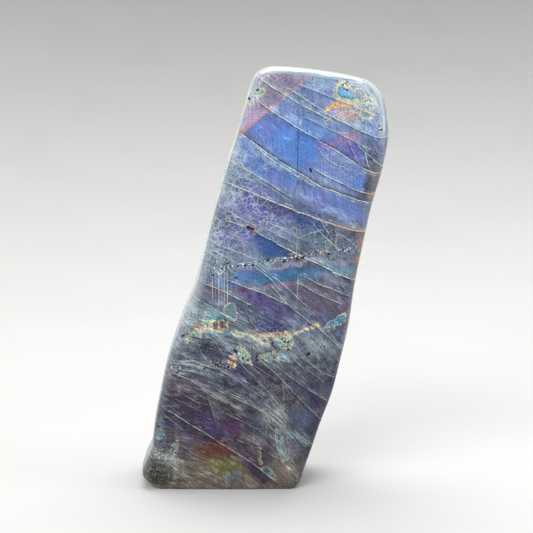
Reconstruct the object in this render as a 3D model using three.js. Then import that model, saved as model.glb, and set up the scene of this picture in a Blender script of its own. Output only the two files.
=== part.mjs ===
// A tall free-form of polished labradorite that stands on a sawn foot and leans to its right.
// Millimetres, +Z up. The origin is the middle of the foot's flat face.
// The broad polished face looks along -Y.
import * as THREE from "three";

// Ease of the sawn edge round the foot.
const FOOT_EASE = 0.8;

// The stone is lofted through ribs, from the foot up. A rib is one slice across the stone.
// left and right are its ends [x, z], seen from the front. reach is how far it goes along -Y and along +Y.
// round is the radius of its two front edges, left and right. bow lifts the middle of a slice under the top.
const RIBS = [
  { left: [-37, FOOT_EASE], right: [37.3, FOOT_EASE], reach: [22.4, 21.4], round: [4, 3], bow: 0 },
  { left: [-41.2, 4.4], right: [39.6, 4], reach: [23, 22], round: [4.5, 3], bow: 0 },
  { left: [-42.1, 8.8], right: [41, 8.8], reach: [22.9, 22.4], round: [4.5, 3], bow: 0 },
  { left: [-37.6, 19.6], right: [44.8, 19.6], reach: [22.6, 23], round: [4.5, 3], bow: 0 },
  { left: [-35.4, 34], right: [49.4, 33.5], reach: [22.2, 23.4], round: [4.5, 3], bow: 0 },
  { left: [-32.4, 48.7], right: [55, 48.7], reach: [21.8, 23.4], round: [5, 3], bow: 0 },
  { left: [-28.9, 64], right: [58.8, 64], reach: [21.3, 23], round: [5.5, 3.2], bow: 0 },
  { left: [-22.8, 82.7], right: [63, 82.7], reach: [20.6, 22], round: [6, 3.4], bow: 0 },
  { left: [-14.7, 102.4], right: [65.8, 102.4], reach: [19.9, 20.8], round: [5, 3.6], bow: 0 },
  { left: [-9.2, 124], right: [70, 123.5], reach: [19.2, 19.6], round: [4.2, 4], bow: 0 },
  { left: [-4.7, 142.2], right: [73.9, 141.7], reach: [18.5, 18.6], round: [4, 4.4], bow: 0 },
  { left: [0.6, 160], right: [78.9, 159], reach: [17.8, 17.6], round: [4, 5.4], bow: 0 },
  { left: [6.4, 178.6], right: [81.9, 176.2], reach: [17, 16.4], round: [4, 7], bow: 0 },
  { left: [11, 193.9], right: [81, 189], reach: [16.3, 14.6], round: [4, 9], bow: 0.4 },
  { left: [14.9, 204.6], right: [77.2, 197.3], reach: [15.2, 12], round: [4, 9], bow: 0.7 },
  { left: [21.2, 209.1], right: [71.2, 202.6], reach: [12, 8.6], round: [4, 7], bow: 0.8 },
  { left: [30.5, 209.5], right: [63.5, 205], reach: [6.6, 4], round: [2.4, 3.4], bow: 0.5 },
];

// The hand-ground back is softer than the front: one radius for both of its edges,
// less under the top, where it takes at most this share of the reach.
const BACK_ROUND = 9;
const BACK_ROUND_SHARE = 0.6;
// How far the broad faces swell in their middle.
const FRONT_SWELL = 0.7;
const BACK_SWELL = 3;
// How far the narrow sides draw in where they meet the front.
const SIDE_DRAW = 1.8;

// Facets: slices between two ribs, and steps along each face and each rounded edge of a slice.
const SLICES_PER_RIB = 3;
const FRONT_STEPS = 14;
const SIDE_STEPS = 6;
const BACK_STEPS = 12;
const ROUND_STEPS = 4;

// A smooth curve through one value of all the ribs, each given as the x, y and z of a point.
function through(valueOf) {
  const points = RIBS.map((rib) => new THREE.Vector3(...valueOf(rib)));
  return new THREE.CatmullRomCurve3(points, false, "catmullrom");
}

const leftEdge = through((rib) => [rib.left[0], 0, rib.left[1]]);
const rightEdge = through((rib) => [rib.right[0], 0, rib.right[1]]);
const reachAndBow = through((rib) => [...rib.reach, rib.bow]);
const rounding = through((rib) => [...rib.round, 0]);

// A quarter turn about [across, depth], from the angle start, as the points between two flat runs.
function corner(across, depth, radius, start) {
  return Array.from({ length: ROUND_STEPS + 1 }, (_, k) => {
    const angle = start + (k / ROUND_STEPS) * (Math.PI / 2);
    return [across + radius * Math.cos(angle), depth + radius * Math.sin(angle)];
  });
}

// The points strictly between two places, so that flat runs join the corners without doubling them.
function run(from, to, steps) {
  return Array.from({ length: steps - 1 }, (_, k) => {
    const share = (k + 1) / steps;
    return [from[0] + (to[0] - from[0]) * share, from[1] + (to[1] - from[1]) * share];
  });
}

// One slice's closed outline seen from above, as [across, depth], starting at the front-left edge.
// across runs from 0 at the left end to width, and depth from -front to back.
function sliceOutline(width, front, back, roundLeft, roundRight) {
  const backRound = Math.min(BACK_ROUND, BACK_ROUND_SHARE * back);
  const frontLeft = corner(roundLeft, roundLeft - front, roundLeft, Math.PI);
  const frontRight = corner(width - roundRight, roundRight - front, roundRight, 1.5 * Math.PI);
  const backRight = corner(width - backRound, back - backRound, backRound, 0);
  const backLeft = corner(backRound, back - backRound, backRound, 0.5 * Math.PI);
  const square = [
    ...frontLeft,
    ...run(frontLeft.at(-1), frontRight[0], FRONT_STEPS),
    ...frontRight,
    ...run(frontRight.at(-1), backRight[0], SIDE_STEPS),
    ...backRight,
    ...run(backRight.at(-1), backLeft[0], BACK_STEPS),
    ...backLeft,
    ...run(backLeft.at(-1), frontLeft[0], SIDE_STEPS),
  ];
  return square.map(([across, depth]) => soften(across, depth, width, front, back));
}

// Swells the broad faces and draws the sides in towards the front, as hand polishing leaves them.
function soften(across, depth, width, front, back) {
  const side = (2 * across) / width - 1;
  const crown = 1 - side * side;
  const frontShare = Math.max(0, -depth / front);
  const backShare = Math.max(0, depth / back);
  const swell = crown * (BACK_SWELL * backShare * (back / RIBS[0].reach[1]) - FRONT_SWELL * frontShare);
  return [across - side * SIDE_DRAW * frontShare * frontShare, depth + swell];
}

// The slice at share t of the way up the ribs, as points in space, drawn in by inset all round.
function slice(t, inset = 0) {
  const left = leftEdge.getPoint(t);
  const right = rightEdge.getPoint(t);
  const { x: front, y: back, z: bow } = reachAndBow.getPoint(t);
  const { x: roundLeft, y: roundRight } = rounding.getPoint(t);
  const width = left.distanceTo(right);
  return sliceOutline(width, front, back, roundLeft, roundRight).map(([across, depth]) => {
    const share = inset / width + (across / width) * (1 - (2 * inset) / width);
    const side = 2 * share - 1;
    const point = left.clone().lerp(right, share);
    return point.set(point.x, depth * (1 - inset / front), point.z + bow * (1 - side * side));
  });
}

// Closes a stack of rings of points into one solid, with a fan over each end.
function stacked(rings) {
  const around = rings[0].length;
  const vertices = rings.flat();
  const triangles = [];
  for (let ring = 0; ring + 1 < rings.length; ring += 1) {
    for (let k = 0; k < around; k += 1) {
      const low = ring * around + k;
      const lowNext = ring * around + ((k + 1) % around);
      triangles.push(low, lowNext, lowNext + around, low, lowNext + around, low + around);
    }
  }
  const centre = (ring) => ring.reduce((sum, p) => sum.add(p), new THREE.Vector3()).divideScalar(around);
  const bottom = vertices.push(centre(rings[0])) - 1;
  const top = vertices.push(centre(rings.at(-1))) - 1;
  const lastRing = (rings.length - 1) * around;
  for (let k = 0; k < around; k += 1) {
    const next = (k + 1) % around;
    triangles.push(bottom, next, k, top, lastRing + k, lastRing + next);
  }
  const geometry = new THREE.BufferGeometry().setFromPoints(vertices);
  geometry.setIndex(triangles);
  geometry.computeVertexNormals();
  return geometry;
}

// The whole stone: the sole, drawn in by the eased edge, then every slice up to the crown.
function stone() {
  const slices = (RIBS.length - 1) * SLICES_PER_RIB;
  const sole = slice(0, FOOT_EASE).map((point) => point.setZ(0));
  const body = Array.from({ length: slices + 1 }, (_, k) => slice(k / slices));
  return stacked([sole, ...body]);
}

const polished = new THREE.MeshStandardMaterial({ color: 0x525d86, roughness: 0.16, metalness: 0.15 });
const labradorite = new THREE.Mesh(stone(), polished);
labradorite.name = "labradorite";

const part = new THREE.Group();
part.add(labradorite);

export default part;
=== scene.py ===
# %% [markdown]
# # A polished labradorite
# The object is one piece of labradorite, a dark feldspar, cut as a tall leaning slab and polished all over.
# It stands on a sawn foot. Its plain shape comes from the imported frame, and this lesson dresses it.
# The lesson has three parts: a small studio, the stone's fine surface, and the stone's finish.
# All lengths are metres in Blender, and millimetres wherever a name ends in `_MM`.

# %% Load the frame
import math
from functools import reduce
from typing import NamedTuple

import bpy
import numpy as np
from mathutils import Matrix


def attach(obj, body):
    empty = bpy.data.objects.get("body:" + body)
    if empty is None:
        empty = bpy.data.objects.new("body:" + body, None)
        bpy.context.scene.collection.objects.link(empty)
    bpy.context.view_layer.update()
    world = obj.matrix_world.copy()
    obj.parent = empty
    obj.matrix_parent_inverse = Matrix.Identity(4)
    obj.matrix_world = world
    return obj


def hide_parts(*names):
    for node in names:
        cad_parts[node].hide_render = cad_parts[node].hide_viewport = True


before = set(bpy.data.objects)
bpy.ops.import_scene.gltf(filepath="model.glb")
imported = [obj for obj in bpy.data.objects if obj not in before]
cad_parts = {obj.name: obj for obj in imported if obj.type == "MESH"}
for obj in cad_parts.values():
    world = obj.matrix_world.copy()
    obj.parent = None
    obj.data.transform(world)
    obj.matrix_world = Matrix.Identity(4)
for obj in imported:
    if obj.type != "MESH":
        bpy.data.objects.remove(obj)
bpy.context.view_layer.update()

METRES = 0.001  # a millimetre


# %% [markdown]
# ## The camera
# The stone was looked at from straight in front and a little above, from about two thirds of a metre.
# A long lens keeps its sides nearly parallel. The lens and the distance go together: a shorter lens
# from nearer would make the foot look wider than the top. The camera is made first, because the
# markings are placed later by where they are in the picture.

# %% Camera
PHOTO_SIDE = 533
LENS_MM = 90
SENSOR_MM = 36
CAMERA_DISTANCE_MM = 674
CAMERA_ELEVATION = math.radians(8)
LOOK_AT_MM = (21.2, 0, 109.4)

camera_mm = (
    LOOK_AT_MM[0],
    LOOK_AT_MM[1] - CAMERA_DISTANCE_MM * math.cos(CAMERA_ELEVATION),
    LOOK_AT_MM[2] + CAMERA_DISTANCE_MM * math.sin(CAMERA_ELEVATION),
)
lens = bpy.data.cameras.new("camera")
lens.lens, lens.sensor_width = LENS_MM, SENSOR_MM
camera = bpy.data.objects.new("camera", lens)
camera.location = [c * METRES for c in camera_mm]
camera.rotation_euler = (math.pi / 2 - CAMERA_ELEVATION, 0, 0)
bpy.context.scene.collection.objects.link(camera)
bpy.context.scene.camera = camera
print("camera at", [round(c, 1) for c in camera_mm], "mm")


# %% [markdown]
# ## Shader maths as Python
# A material in Blender is a graph of nodes. A graph of a hundred nodes is hard to read as a list of
# links, so a socket is wrapped in a small class that knows `+`, `-` and `*`. `1 - mask` then
# adds one Math node. Colours don't go through Math nodes, which would turn them grey. They go through
# Mix and Vector Math nodes, which keep their three numbers apart.

# %% Wire: a socket that can be used in arithmetic
class Wire:
    """One output socket of a node tree, usable in expressions on plain values."""

    def __init__(self, recipe, socket):
        self.recipe, self.socket = recipe, socket

    def maths(self, operation, *values):
        return self.recipe.node("ShaderNodeMath", {"operation": operation}, *values)

    def __add__(self, other):
        return self.maths("ADD", self, other)

    def __sub__(self, other):
        return self.maths("SUBTRACT", self, other)

    def __rsub__(self, other):
        return self.maths("SUBTRACT", other, self)

    def __mul__(self, other):
        return self.maths("MULTIPLY", self, other)

    __radd__, __rmul__ = __add__, __mul__

    def size(self):
        return self.maths("ABSOLUTE", self)

    def or_more(self, other):
        return self.maths("MAXIMUM", self, other)

    def rise(self, low, high):
        """0 below low, 1 above high, and smooth between them. With low above high it falls."""
        settings = {"interpolation_type": "SMOOTHSTEP"}
        return self.recipe.node("ShaderNodeMapRange", settings, self, low, high, 0.0, 1.0)


# %% Recipe: one material's node tree
class Recipe:
    """A material and the nodes that make its finish."""

    def __init__(self, name):
        self.material = bpy.data.materials.new(name)
        self.material.use_nodes = True
        self.tree = self.material.node_tree
        self.tree.nodes.clear()

    def node(self, kind, settings, *values, out=None, **named):
        """Adds a node, sets its settings first, then fills its sockets in order or by name."""
        made = self.tree.nodes.new(kind)
        for key, value in settings.items():
            if key == "stops":
                self.set_stops(made.color_ramp, value)
            else:
                setattr(made, key, value)
        shown = [s for s in made.inputs if s.enabled]
        filled = list(zip(shown, values)) + [(self.socket(shown, key), v) for key, v in named.items()]
        for socket, value in filled:
            if isinstance(value, Wire):
                self.tree.links.new(value.socket, socket)
            else:
                socket.default_value = value
        outputs = [s for s in made.outputs if s.enabled]
        return Wire(self, self.socket(outputs, out) if out else outputs[0])

    @staticmethod
    def socket(sockets, name):
        return next(s for s in sockets if s.name.replace(" ", "_") == name)

    @staticmethod
    def set_stops(ramp, stops):
        while len(ramp.elements) < len(stops):
            ramp.elements.new(0.5)
        for element, (place, colour) in zip(ramp.elements, stops):
            element.position, element.color = place, colour

    def mix(self, factor, low, high):
        """A colour between low and high."""
        return self.node("ShaderNodeMix", {"data_type": "RGBA"}, Factor=factor, A=low, B=high)

    def vector(self, operation, *values):
        return self.node("ShaderNodeVectorMath", {"operation": operation}, *values)

    def field(self, name, out="Fac"):
        """Values that the mesh carries under that name."""
        return self.node("ShaderNodeAttribute", {"attribute_name": name}, out=out)

    def parts(self, vector):
        """The three numbers of a vector."""
        split = self.node("ShaderNodeSeparateXYZ", {}, vector)
        return [Wire(self, output) for output in split.socket.node.outputs]

    def finish(self, **sockets):
        """The surface shader, with each socket set or linked, and the material's output."""
        surface = self.node("ShaderNodeBsdfPrincipled", {}, **sockets)
        output = self.tree.nodes.new("ShaderNodeOutputMaterial")
        self.tree.links.new(surface.socket, output.inputs["Surface"])
        return self.material


# %% Colours by their usual screen numbers
def linear(red, green, blue):
    """A colour given as screen numbers from 0 to 255, as the light it stands for, from 0 to 1."""
    shares = np.array([red, green, blue]) / 255
    return np.where(shares <= 0.04045, shares / 12.92, ((shares + 0.055) / 1.055) ** 2.4)


def paint(red, green, blue):
    """The same colour as a socket takes it, with its fourth number."""
    return (*linear(red, green, blue).tolist(), 1.0)


# %% [markdown]
# ## The studio
# A polished stone shows what is round it, so the studio is part of its finish. The floor turns up
# into a wall all the way round, like a shallow bowl: no corner or horizon is seen or reflected.
# It is turned on a lathe from one profile. The surface is plain and pale, with a faint unevenness.

# %% Floor and wall in one bowl
MIDDLE_RADIUS, FLOOR_RADIUS, BOWL_RADIUS, WALL_TOP = 0.25, 0.5, 2.9, 2.8
BOWL_TURNS, BOWL_BEND_STEPS = 128, 40


def bowl_profile():
    """Radius and height, from the middle of the floor to the top of the wall."""
    bend = BOWL_RADIUS - FLOOR_RADIUS
    angles = np.linspace(0, math.pi / 2, BOWL_BEND_STEPS)
    arc = [(FLOOR_RADIUS + bend * math.sin(a), bend * (1 - math.cos(a))) for a in angles]
    return [(MIDDLE_RADIUS, 0), *arc, (BOWL_RADIUS, WALL_TOP)]


def turned(name, profile, turns):
    """A surface of revolution about Z, closed in the middle by a fan."""
    angles = np.linspace(0, 2 * math.pi, turns, endpoint=False)
    points = [(0, 0, 0)] + [(r * math.cos(a), r * math.sin(a), z) for r, z in profile for a in angles]
    faces = [(0, 1 + k, 1 + (k + 1) % turns) for k in range(turns)]
    for ring in range(len(profile) - 1):
        for k in range(turns):
            near, far = 1 + ring * turns, 1 + (ring + 1) * turns
            step = (k + 1) % turns
            faces.append((near + k, far + k, far + step, near + step))
    mesh = bpy.data.meshes.new(name)
    mesh.from_pydata(points, [], faces)
    mesh.shade_smooth()
    made = bpy.data.objects.new(name, mesh)
    bpy.context.scene.collection.objects.link(made)
    return made


floor = turned("studio_bowl", bowl_profile(), BOWL_TURNS)
paper = Recipe("pale_paper")
paper_place = paper.node("ShaderNodeTexCoord", {}, out="Object")
paper_mottle = paper.node("ShaderNodeTexNoise", {}, Vector=paper_place, Scale=9.0, Detail=3.0, out="Fac")
floor.data.materials.append(
    paper.finish(
        Base_Color=paper.mix(paper_mottle, paint(214, 214, 212), paint(221, 220, 218)),
        Roughness=0.85,
        Specular_IOR_Level=0.1,
    )
)
print("studio bowl:", len(floor.data.polygons), "faces")


# %% [markdown]
# Three soft boxes light it. A broad one in front, high on the left, lights the face evenly. Seen from the
# camera it doesn't mirror in the face, which points at the floor in front. One above and behind draws
# the bright line along the top edge, where the polish rounds over. A weak one fills the right side.
# A low even light from the whole room keeps the shadows soft.

# %% Soft boxes
STONE_MIDDLE = (0.02, 0, 0.11)
ROOM_COLOUR, ROOM_STRENGTH = paint(226, 230, 236), 0.3
SOFT_BOXES = {  # place, width and height, watts
    "front_box": ((-0.7, -1.35, 1.25), (1.3, 1.0), 22),
    "top_box": ((0.1, 0.42, 1.3), (1.3, 0.9), 18),
    "right_box": ((1.4, -0.3, 0.7), (0.7, 0.9), 5),
}


def soft_box(name, place, size, watts):
    light = bpy.data.lights.new(name, "AREA")
    light.shape, light.size, light.size_y = "RECTANGLE", *size
    light.energy = watts
    lamp = bpy.data.objects.new(name, light)
    lamp.location = place
    away = np.array(place) - np.array(STONE_MIDDLE)
    across, depth, height = away
    lamp.rotation_euler = (math.atan2(math.hypot(across, depth), height), 0, math.atan2(across, -depth))
    bpy.context.scene.collection.objects.link(lamp)


for box_name, (place, size, watts) in SOFT_BOXES.items():
    soft_box(box_name, place, size, watts)

world = bpy.data.worlds.new("room_light")
world.use_nodes = True
room = world.node_tree.nodes["Background"].inputs
room["Color"].default_value, room["Strength"].default_value = ROOM_COLOUR, ROOM_STRENGTH
bpy.context.scene.world = world
bpy.context.scene.view_settings.view_transform = "Standard"
print("soft boxes:", ", ".join(SOFT_BOXES))


# %% [markdown]
# ## The stone's shape
# The stone is lofted: ribs are laid across it from the foot to the crown, smooth curves run through
# them, and each slice is a rectangle with rounded corners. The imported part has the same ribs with
# few facets. Here the same rule makes a fine mesh, so the polish reflects without a facet in sight.
# A sculpted or remeshed copy would do too, but it would lose the tidy rows that carry the markings.

# %% The ribs, in millimetres
class Rib(NamedTuple):
    left: tuple  # x and z of its left end
    right: tuple
    reach: tuple  # how far it goes towards the front and towards the back
    round: tuple  # radius of the two front edges
    bow: float = 0.0  # lift of its middle


FOOT_EASE_MM = 0.8
RIBS = [
    Rib((-37, FOOT_EASE_MM), (37.3, FOOT_EASE_MM), (22.4, 21.4), (4, 3)),
    Rib((-41.2, 4.4), (39.6, 4), (23, 22), (4.5, 3)),
    Rib((-42.1, 8.8), (41, 8.8), (22.9, 22.4), (4.5, 3)),
    Rib((-37.6, 19.6), (44.8, 19.6), (22.6, 23), (4.5, 3)),
    Rib((-35.4, 34), (49.4, 33.5), (22.2, 23.4), (4.5, 3)),
    Rib((-32.4, 48.7), (55, 48.7), (21.8, 23.4), (5, 3)),
    Rib((-28.9, 64), (58.8, 64), (21.3, 23), (5.5, 3.2)),
    Rib((-22.8, 82.7), (63, 82.7), (20.6, 22), (6, 3.4)),
    Rib((-14.7, 102.4), (65.8, 102.4), (19.9, 20.8), (5, 3.6)),
    Rib((-9.2, 124), (70, 123.5), (19.2, 19.6), (4.2, 4)),
    Rib((-4.7, 142.2), (73.9, 141.7), (18.5, 18.6), (4, 4.4)),
    Rib((0.6, 160), (78.9, 159), (17.8, 17.6), (4, 5.4)),
    Rib((6.4, 178.6), (81.9, 176.2), (17, 16.4), (4, 7)),
    Rib((11, 193.9), (81, 189), (16.3, 14.6), (4, 9), 0.4),
    Rib((14.9, 204.6), (77.2, 197.3), (15.2, 12), (4, 9), 0.7),
    Rib((21.2, 209.1), (71.2, 202.6), (12, 8.6), (4, 7), 0.8),
    Rib((30.5, 209.5), (63.5, 205), (6.6, 4), (2.4, 3.4), 0.5),
]
print("ribs:", len(RIBS), "from", RIBS[0].left[1], "to", RIBS[-1].left[1], "mm up")


# %% A smooth curve through one value of every rib
def through(values, share):
    """Catmull-Rom through the rows of values. share runs from 0 at the first to 1 at the last."""
    rows = np.array(values, float)
    padded = np.vstack([2 * rows[0] - rows[1], rows, 2 * rows[-1] - rows[-2]])
    at = np.clip(np.asarray(share, float), 0, 1) * (len(rows) - 1)
    start = np.minimum(at.astype(int), len(rows) - 2)
    step = (at - start)[..., None]
    before, first, second, after = (padded[start + k] for k in range(4))
    lean_in, lean_out = (second - before) / 2, (after - first) / 2
    squared, cubed = step**2, step**3
    return (
        first * (2 * cubed - 3 * squared + 1)
        + second * (3 * squared - 2 * cubed)
        + lean_in * (cubed - 2 * squared + step)
        + lean_out * (cubed - squared)
    )


def rib_values(share):
    """left (x, z), right (x, z), reach (front, back), round (left, right) and bow at those shares."""
    table = [(*r.left, *r.right, *r.reach, *r.round, r.bow) for r in RIBS]
    return through(table, share)


# %% [markdown]
# A slice's outline is made of eight runs: four rounded corners and four nearly flat sides. Each point
# also remembers where it is: how far across, and whether it is on the front, a side or the back.

# %% One slice's outline
FRONT_STEPS, SIDE_STEPS, BACK_STEPS, ROUND_STEPS = 130, 16, 48, 6
BACK_ROUND_MM, BACK_ROUND_SHARE = 9, 0.6
FRONT_SWELL_MM, BACK_SWELL_MM, SIDE_DRAW_MM = 0.7, 3, 1.8


def corner(middle_across, middle_depth, radius, start):
    angles = start + np.linspace(0, math.pi / 2, ROUND_STEPS + 1)
    return np.c_[middle_across + radius * np.cos(angles), middle_depth + radius * np.sin(angles)]


def between(from_point, to_point, steps):
    shares = np.arange(1, steps)[:, None] / steps
    return from_point + (to_point - from_point) * shares


def outline(width, front, back, round_left, round_right):
    """A slice seen from above as rows of (across, depth), from the front-left edge round to it again."""
    round_back = min(BACK_ROUND_MM, BACK_ROUND_SHARE * back)
    front_left = corner(round_left, round_left - front, round_left, math.pi)
    front_right = corner(width - round_right, round_right - front, round_right, 1.5 * math.pi)
    back_right = corner(width - round_back, back - round_back, round_back, 0)
    back_left = corner(round_back, back - round_back, round_back, 0.5 * math.pi)
    loop = np.vstack([
        front_left,
        between(front_left[-1], front_right[0], FRONT_STEPS),
        front_right,
        between(front_right[-1], back_right[0], SIDE_STEPS),
        back_right,
        between(back_right[-1], back_left[0], BACK_STEPS),
        back_left,
        between(back_left[-1], front_left[0], SIDE_STEPS),
    ])
    side = 2 * loop[:, 0] / width - 1
    crown = 1 - side**2
    front_share = np.maximum(0, -loop[:, 1] / front)
    back_share = np.maximum(0, loop[:, 1] / back)
    swell = crown * (BACK_SWELL_MM * back_share * back / RIBS[0].reach[1] - FRONT_SWELL_MM * front_share)
    return np.c_[loop[:, 0] - side * SIDE_DRAW_MM * front_share**2, loop[:, 1] + swell]


# %% All the slices, evenly spaced up the stone
ROWS = 372
CROWN_RINGS = 5


def slice_at(share, inset=0.0):
    left_x, left_z, right_x, right_z, front, back, round_left, round_right, bow = rib_values(share)
    width = math.hypot(right_x - left_x, right_z - left_z)
    loop = outline(width, front, back, round_left, round_right)
    across = inset / width + loop[:, 0] / width * (1 - 2 * inset / width)
    side = 2 * across - 1
    x = left_x + (right_x - left_x) * across
    z = left_z + (right_z - left_z) * across + bow * (1 - side**2)
    return np.c_[x, loop[:, 1] * (1 - inset / front), z]


def even_shares(count):
    """Shares of the way up that put equal lengths of stone between two rows."""
    fine = np.linspace(0, 1, 4000)
    table = rib_values(fine)
    rise = np.hypot(*np.diff((table[:, :2] + table[:, 2:4]) / 2, axis=0).T)
    reach = np.abs(np.diff(table[:, 4]))
    travelled = np.concatenate([[0], np.cumsum(np.hypot(rise, reach))])
    return np.interp(np.linspace(0, travelled[-1], count), travelled, fine)


def foot_ring(angle):
    """The eased edge round the foot, from the flat sole to the wall."""
    ring = slice_at(0, FOOT_EASE_MM * (1 - math.sin(angle)))
    ring[:, 2] = FOOT_EASE_MM * (1 - math.cos(angle))
    return ring


foot = [foot_ring(angle) for angle in np.radians([0, 30, 60])]
walls = [slice_at(share) for share in even_shares(ROWS)]
top_middle = walls[-1].mean(0)
crown_shares = np.linspace(1, 0, CROWN_RINGS + 1)[1:-1]
crown = [top_middle + (walls[-1] - top_middle) * share for share in crown_shares]
rings = np.array(foot + walls + crown)
print("slices:", len(rings), "points each:", rings.shape[1])


# %% [markdown]
# Hand polishing never leaves a dead flat face. A slow swell of a tenth of a millimetre, far too small
# to see as a shape, is enough to make reflections on the sides wander as they do on the real stone.

# %% Smooth random values on the stone
LATTICE_SIDE = 256
lattice = np.random.default_rng(11).random((LATTICE_SIDE, LATTICE_SIDE))


def mottle(u, v, size_mm, layer):
    """Smooth random values from 0 to 1 that change over size_mm. Each layer gives others."""
    across, up = u / size_mm + 17.3 * layer + 90, v / size_mm + 41.9 * layer + 90
    col, row = np.floor(across).astype(int), np.floor(up).astype(int)
    right, above = across - col, up - row
    right, above = right**2 * (3 - 2 * right), above**2 * (3 - 2 * above)

    def value(i, j):
        return lattice[(col + i) % LATTICE_SIDE, (row + j) % LATTICE_SIDE]

    low = value(0, 0) * (1 - right) + value(1, 0) * right
    high = value(0, 1) * (1 - right) + value(1, 1) * right
    return low * (1 - above) + high * above


def cloud(u, v, size_mm, layer, octaves=4):
    """Mottle on mottle, each half the size and strength, from -1 to 1."""
    shares = [0.5**k for k in range(octaves)]
    total = sum(s * (2 * mottle(u, v, size_mm * s, layer + 3 * k) - 1) for k, s in enumerate(shares))
    return total / sum(shares)


def ramp(low, high, value):
    """0 below low, 1 above high, smooth between them."""
    share = np.clip((value - low) / (high - low), 0, 1)
    return share**2 * (3 - 2 * share)


POLISH_SWELL_MM, POLISH_SWELL_SIZE_MM = 0.12, 24
points = rings.reshape(-1, 3).copy()
x, y, z = points.T
swell = cloud(x + 0.7 * y, z - 0.5 * y, POLISH_SWELL_SIZE_MM, layer=1, octaves=2)
points[:, 1] += POLISH_SWELL_MM * swell * ramp(2, 12, z) * np.sign(y) * ramp(4, 14, np.abs(y))
print("surface points:", len(points))


# %% [markdown]
# ## Where the markings are
# Labradorite splits along parallel planes. In a polished face each plane is a thin pale line, and the
# planes are what gives the stone its look of overlapping shingles. They are drawn from points read
# off the photograph, each turned into a place on the broad face by following the camera's ray.

# %% From a pixel of the photograph to the broad face
FOCAL_PX = LENS_MM / SENSOR_MM * PHOTO_SIDE
FACE_AT_FOOT_MM, FACE_TAPER = 23.1, 0.0365  # the face is the plane y = taper * z - at_foot


def on_face(pixel_x, pixel_y):
    """x and z in millimetres, on the broad face, of a pixel of the photograph."""
    across = (np.asarray(pixel_x, float) - PHOTO_SIDE / 2) / FOCAL_PX
    up = (PHOTO_SIDE / 2 - np.asarray(pixel_y, float)) / FOCAL_PX
    ray_y = math.cos(CAMERA_ELEVATION) + up * math.sin(CAMERA_ELEVATION)
    ray_z = up * math.cos(CAMERA_ELEVATION) - math.sin(CAMERA_ELEVATION)
    travel = (FACE_TAPER * camera_mm[2] - FACE_AT_FOOT_MM - camera_mm[1]) / (ray_y - FACE_TAPER * ray_z)
    return camera_mm[0] + travel * across, camera_mm[2] + travel * ray_z


middle_of_picture = on_face(PHOTO_SIDE / 2, PHOTO_SIDE / 2)
print("the middle of the picture is at x, z =", [round(float(mm), 1) for mm in middle_of_picture], "mm")


# %% [markdown]
# The planes run through the stone, so the same marks go round the sides and come out on the back.
# Each surface point is given a place (u, v) on the broad face. On the face it is its own x and z.
# Further back it slides towards the middle line and down, as a plane that dips into the stone does.
# A line or an ellipse has too clean an edge for a stone. So there are two more pairs of places, shifted
# by clouds: lines, rust and grains use the pair that wanders a little, and flash, haze and web the pair
# that is bent a lot.

# %% The place on the face that each surface point takes its marks from
DEPTH_MM, SQUEEZE, DIP_MM = 44, 0.4, 10
MIDDLE_AT_FOOT_MM, MIDDLE_LEAN = -2, 0.255
behind = np.clip((y + FACE_AT_FOOT_MM - FACE_TAPER * z) / DEPTH_MM, 0, 1)
middle_line = MIDDLE_AT_FOOT_MM + MIDDLE_LEAN * z
face_u = middle_line + (x - middle_line) * (1 - SQUEEZE * behind)
face_v = z - DIP_MM * behind


def shifted(values, *clouds):
    """Values moved by clouds. Each has a strength and a size in mm, a layer, and perhaps its octaves."""
    return values + sum(strength * cloud(face_u, face_v, *kind) for strength, *kind in clouds)


wander_u, wander_v = shifted(face_u, (0.25, 5, 2)), shifted(face_v, (0.25, 6, 3))
bent_u, bent_v = shifted(face_u, (2.2, 9, 4), (0.8, 1.6, 5)), shifted(face_v, (2.2, 8, 6), (1.6, 2.2, 7))
print("depth share runs from", behind.min().round(2), "to", behind.max().round(2))


# %% [markdown]
# The upper half has long lines that start high on the left and run down to the right, bundled in
# places. Each has a strength, a veil of haze that hangs on one side of it, and its points in order.
# Short lines fork off them near the right edge.

# %% Cleavage lines of the upper half
class Cleavage(NamedTuple):
    strength: float  # below 0 for a line that is only dark
    veil: float  # pale haze beside the line: above it when positive, below when negative
    points: list  # pixels of the photograph


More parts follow.
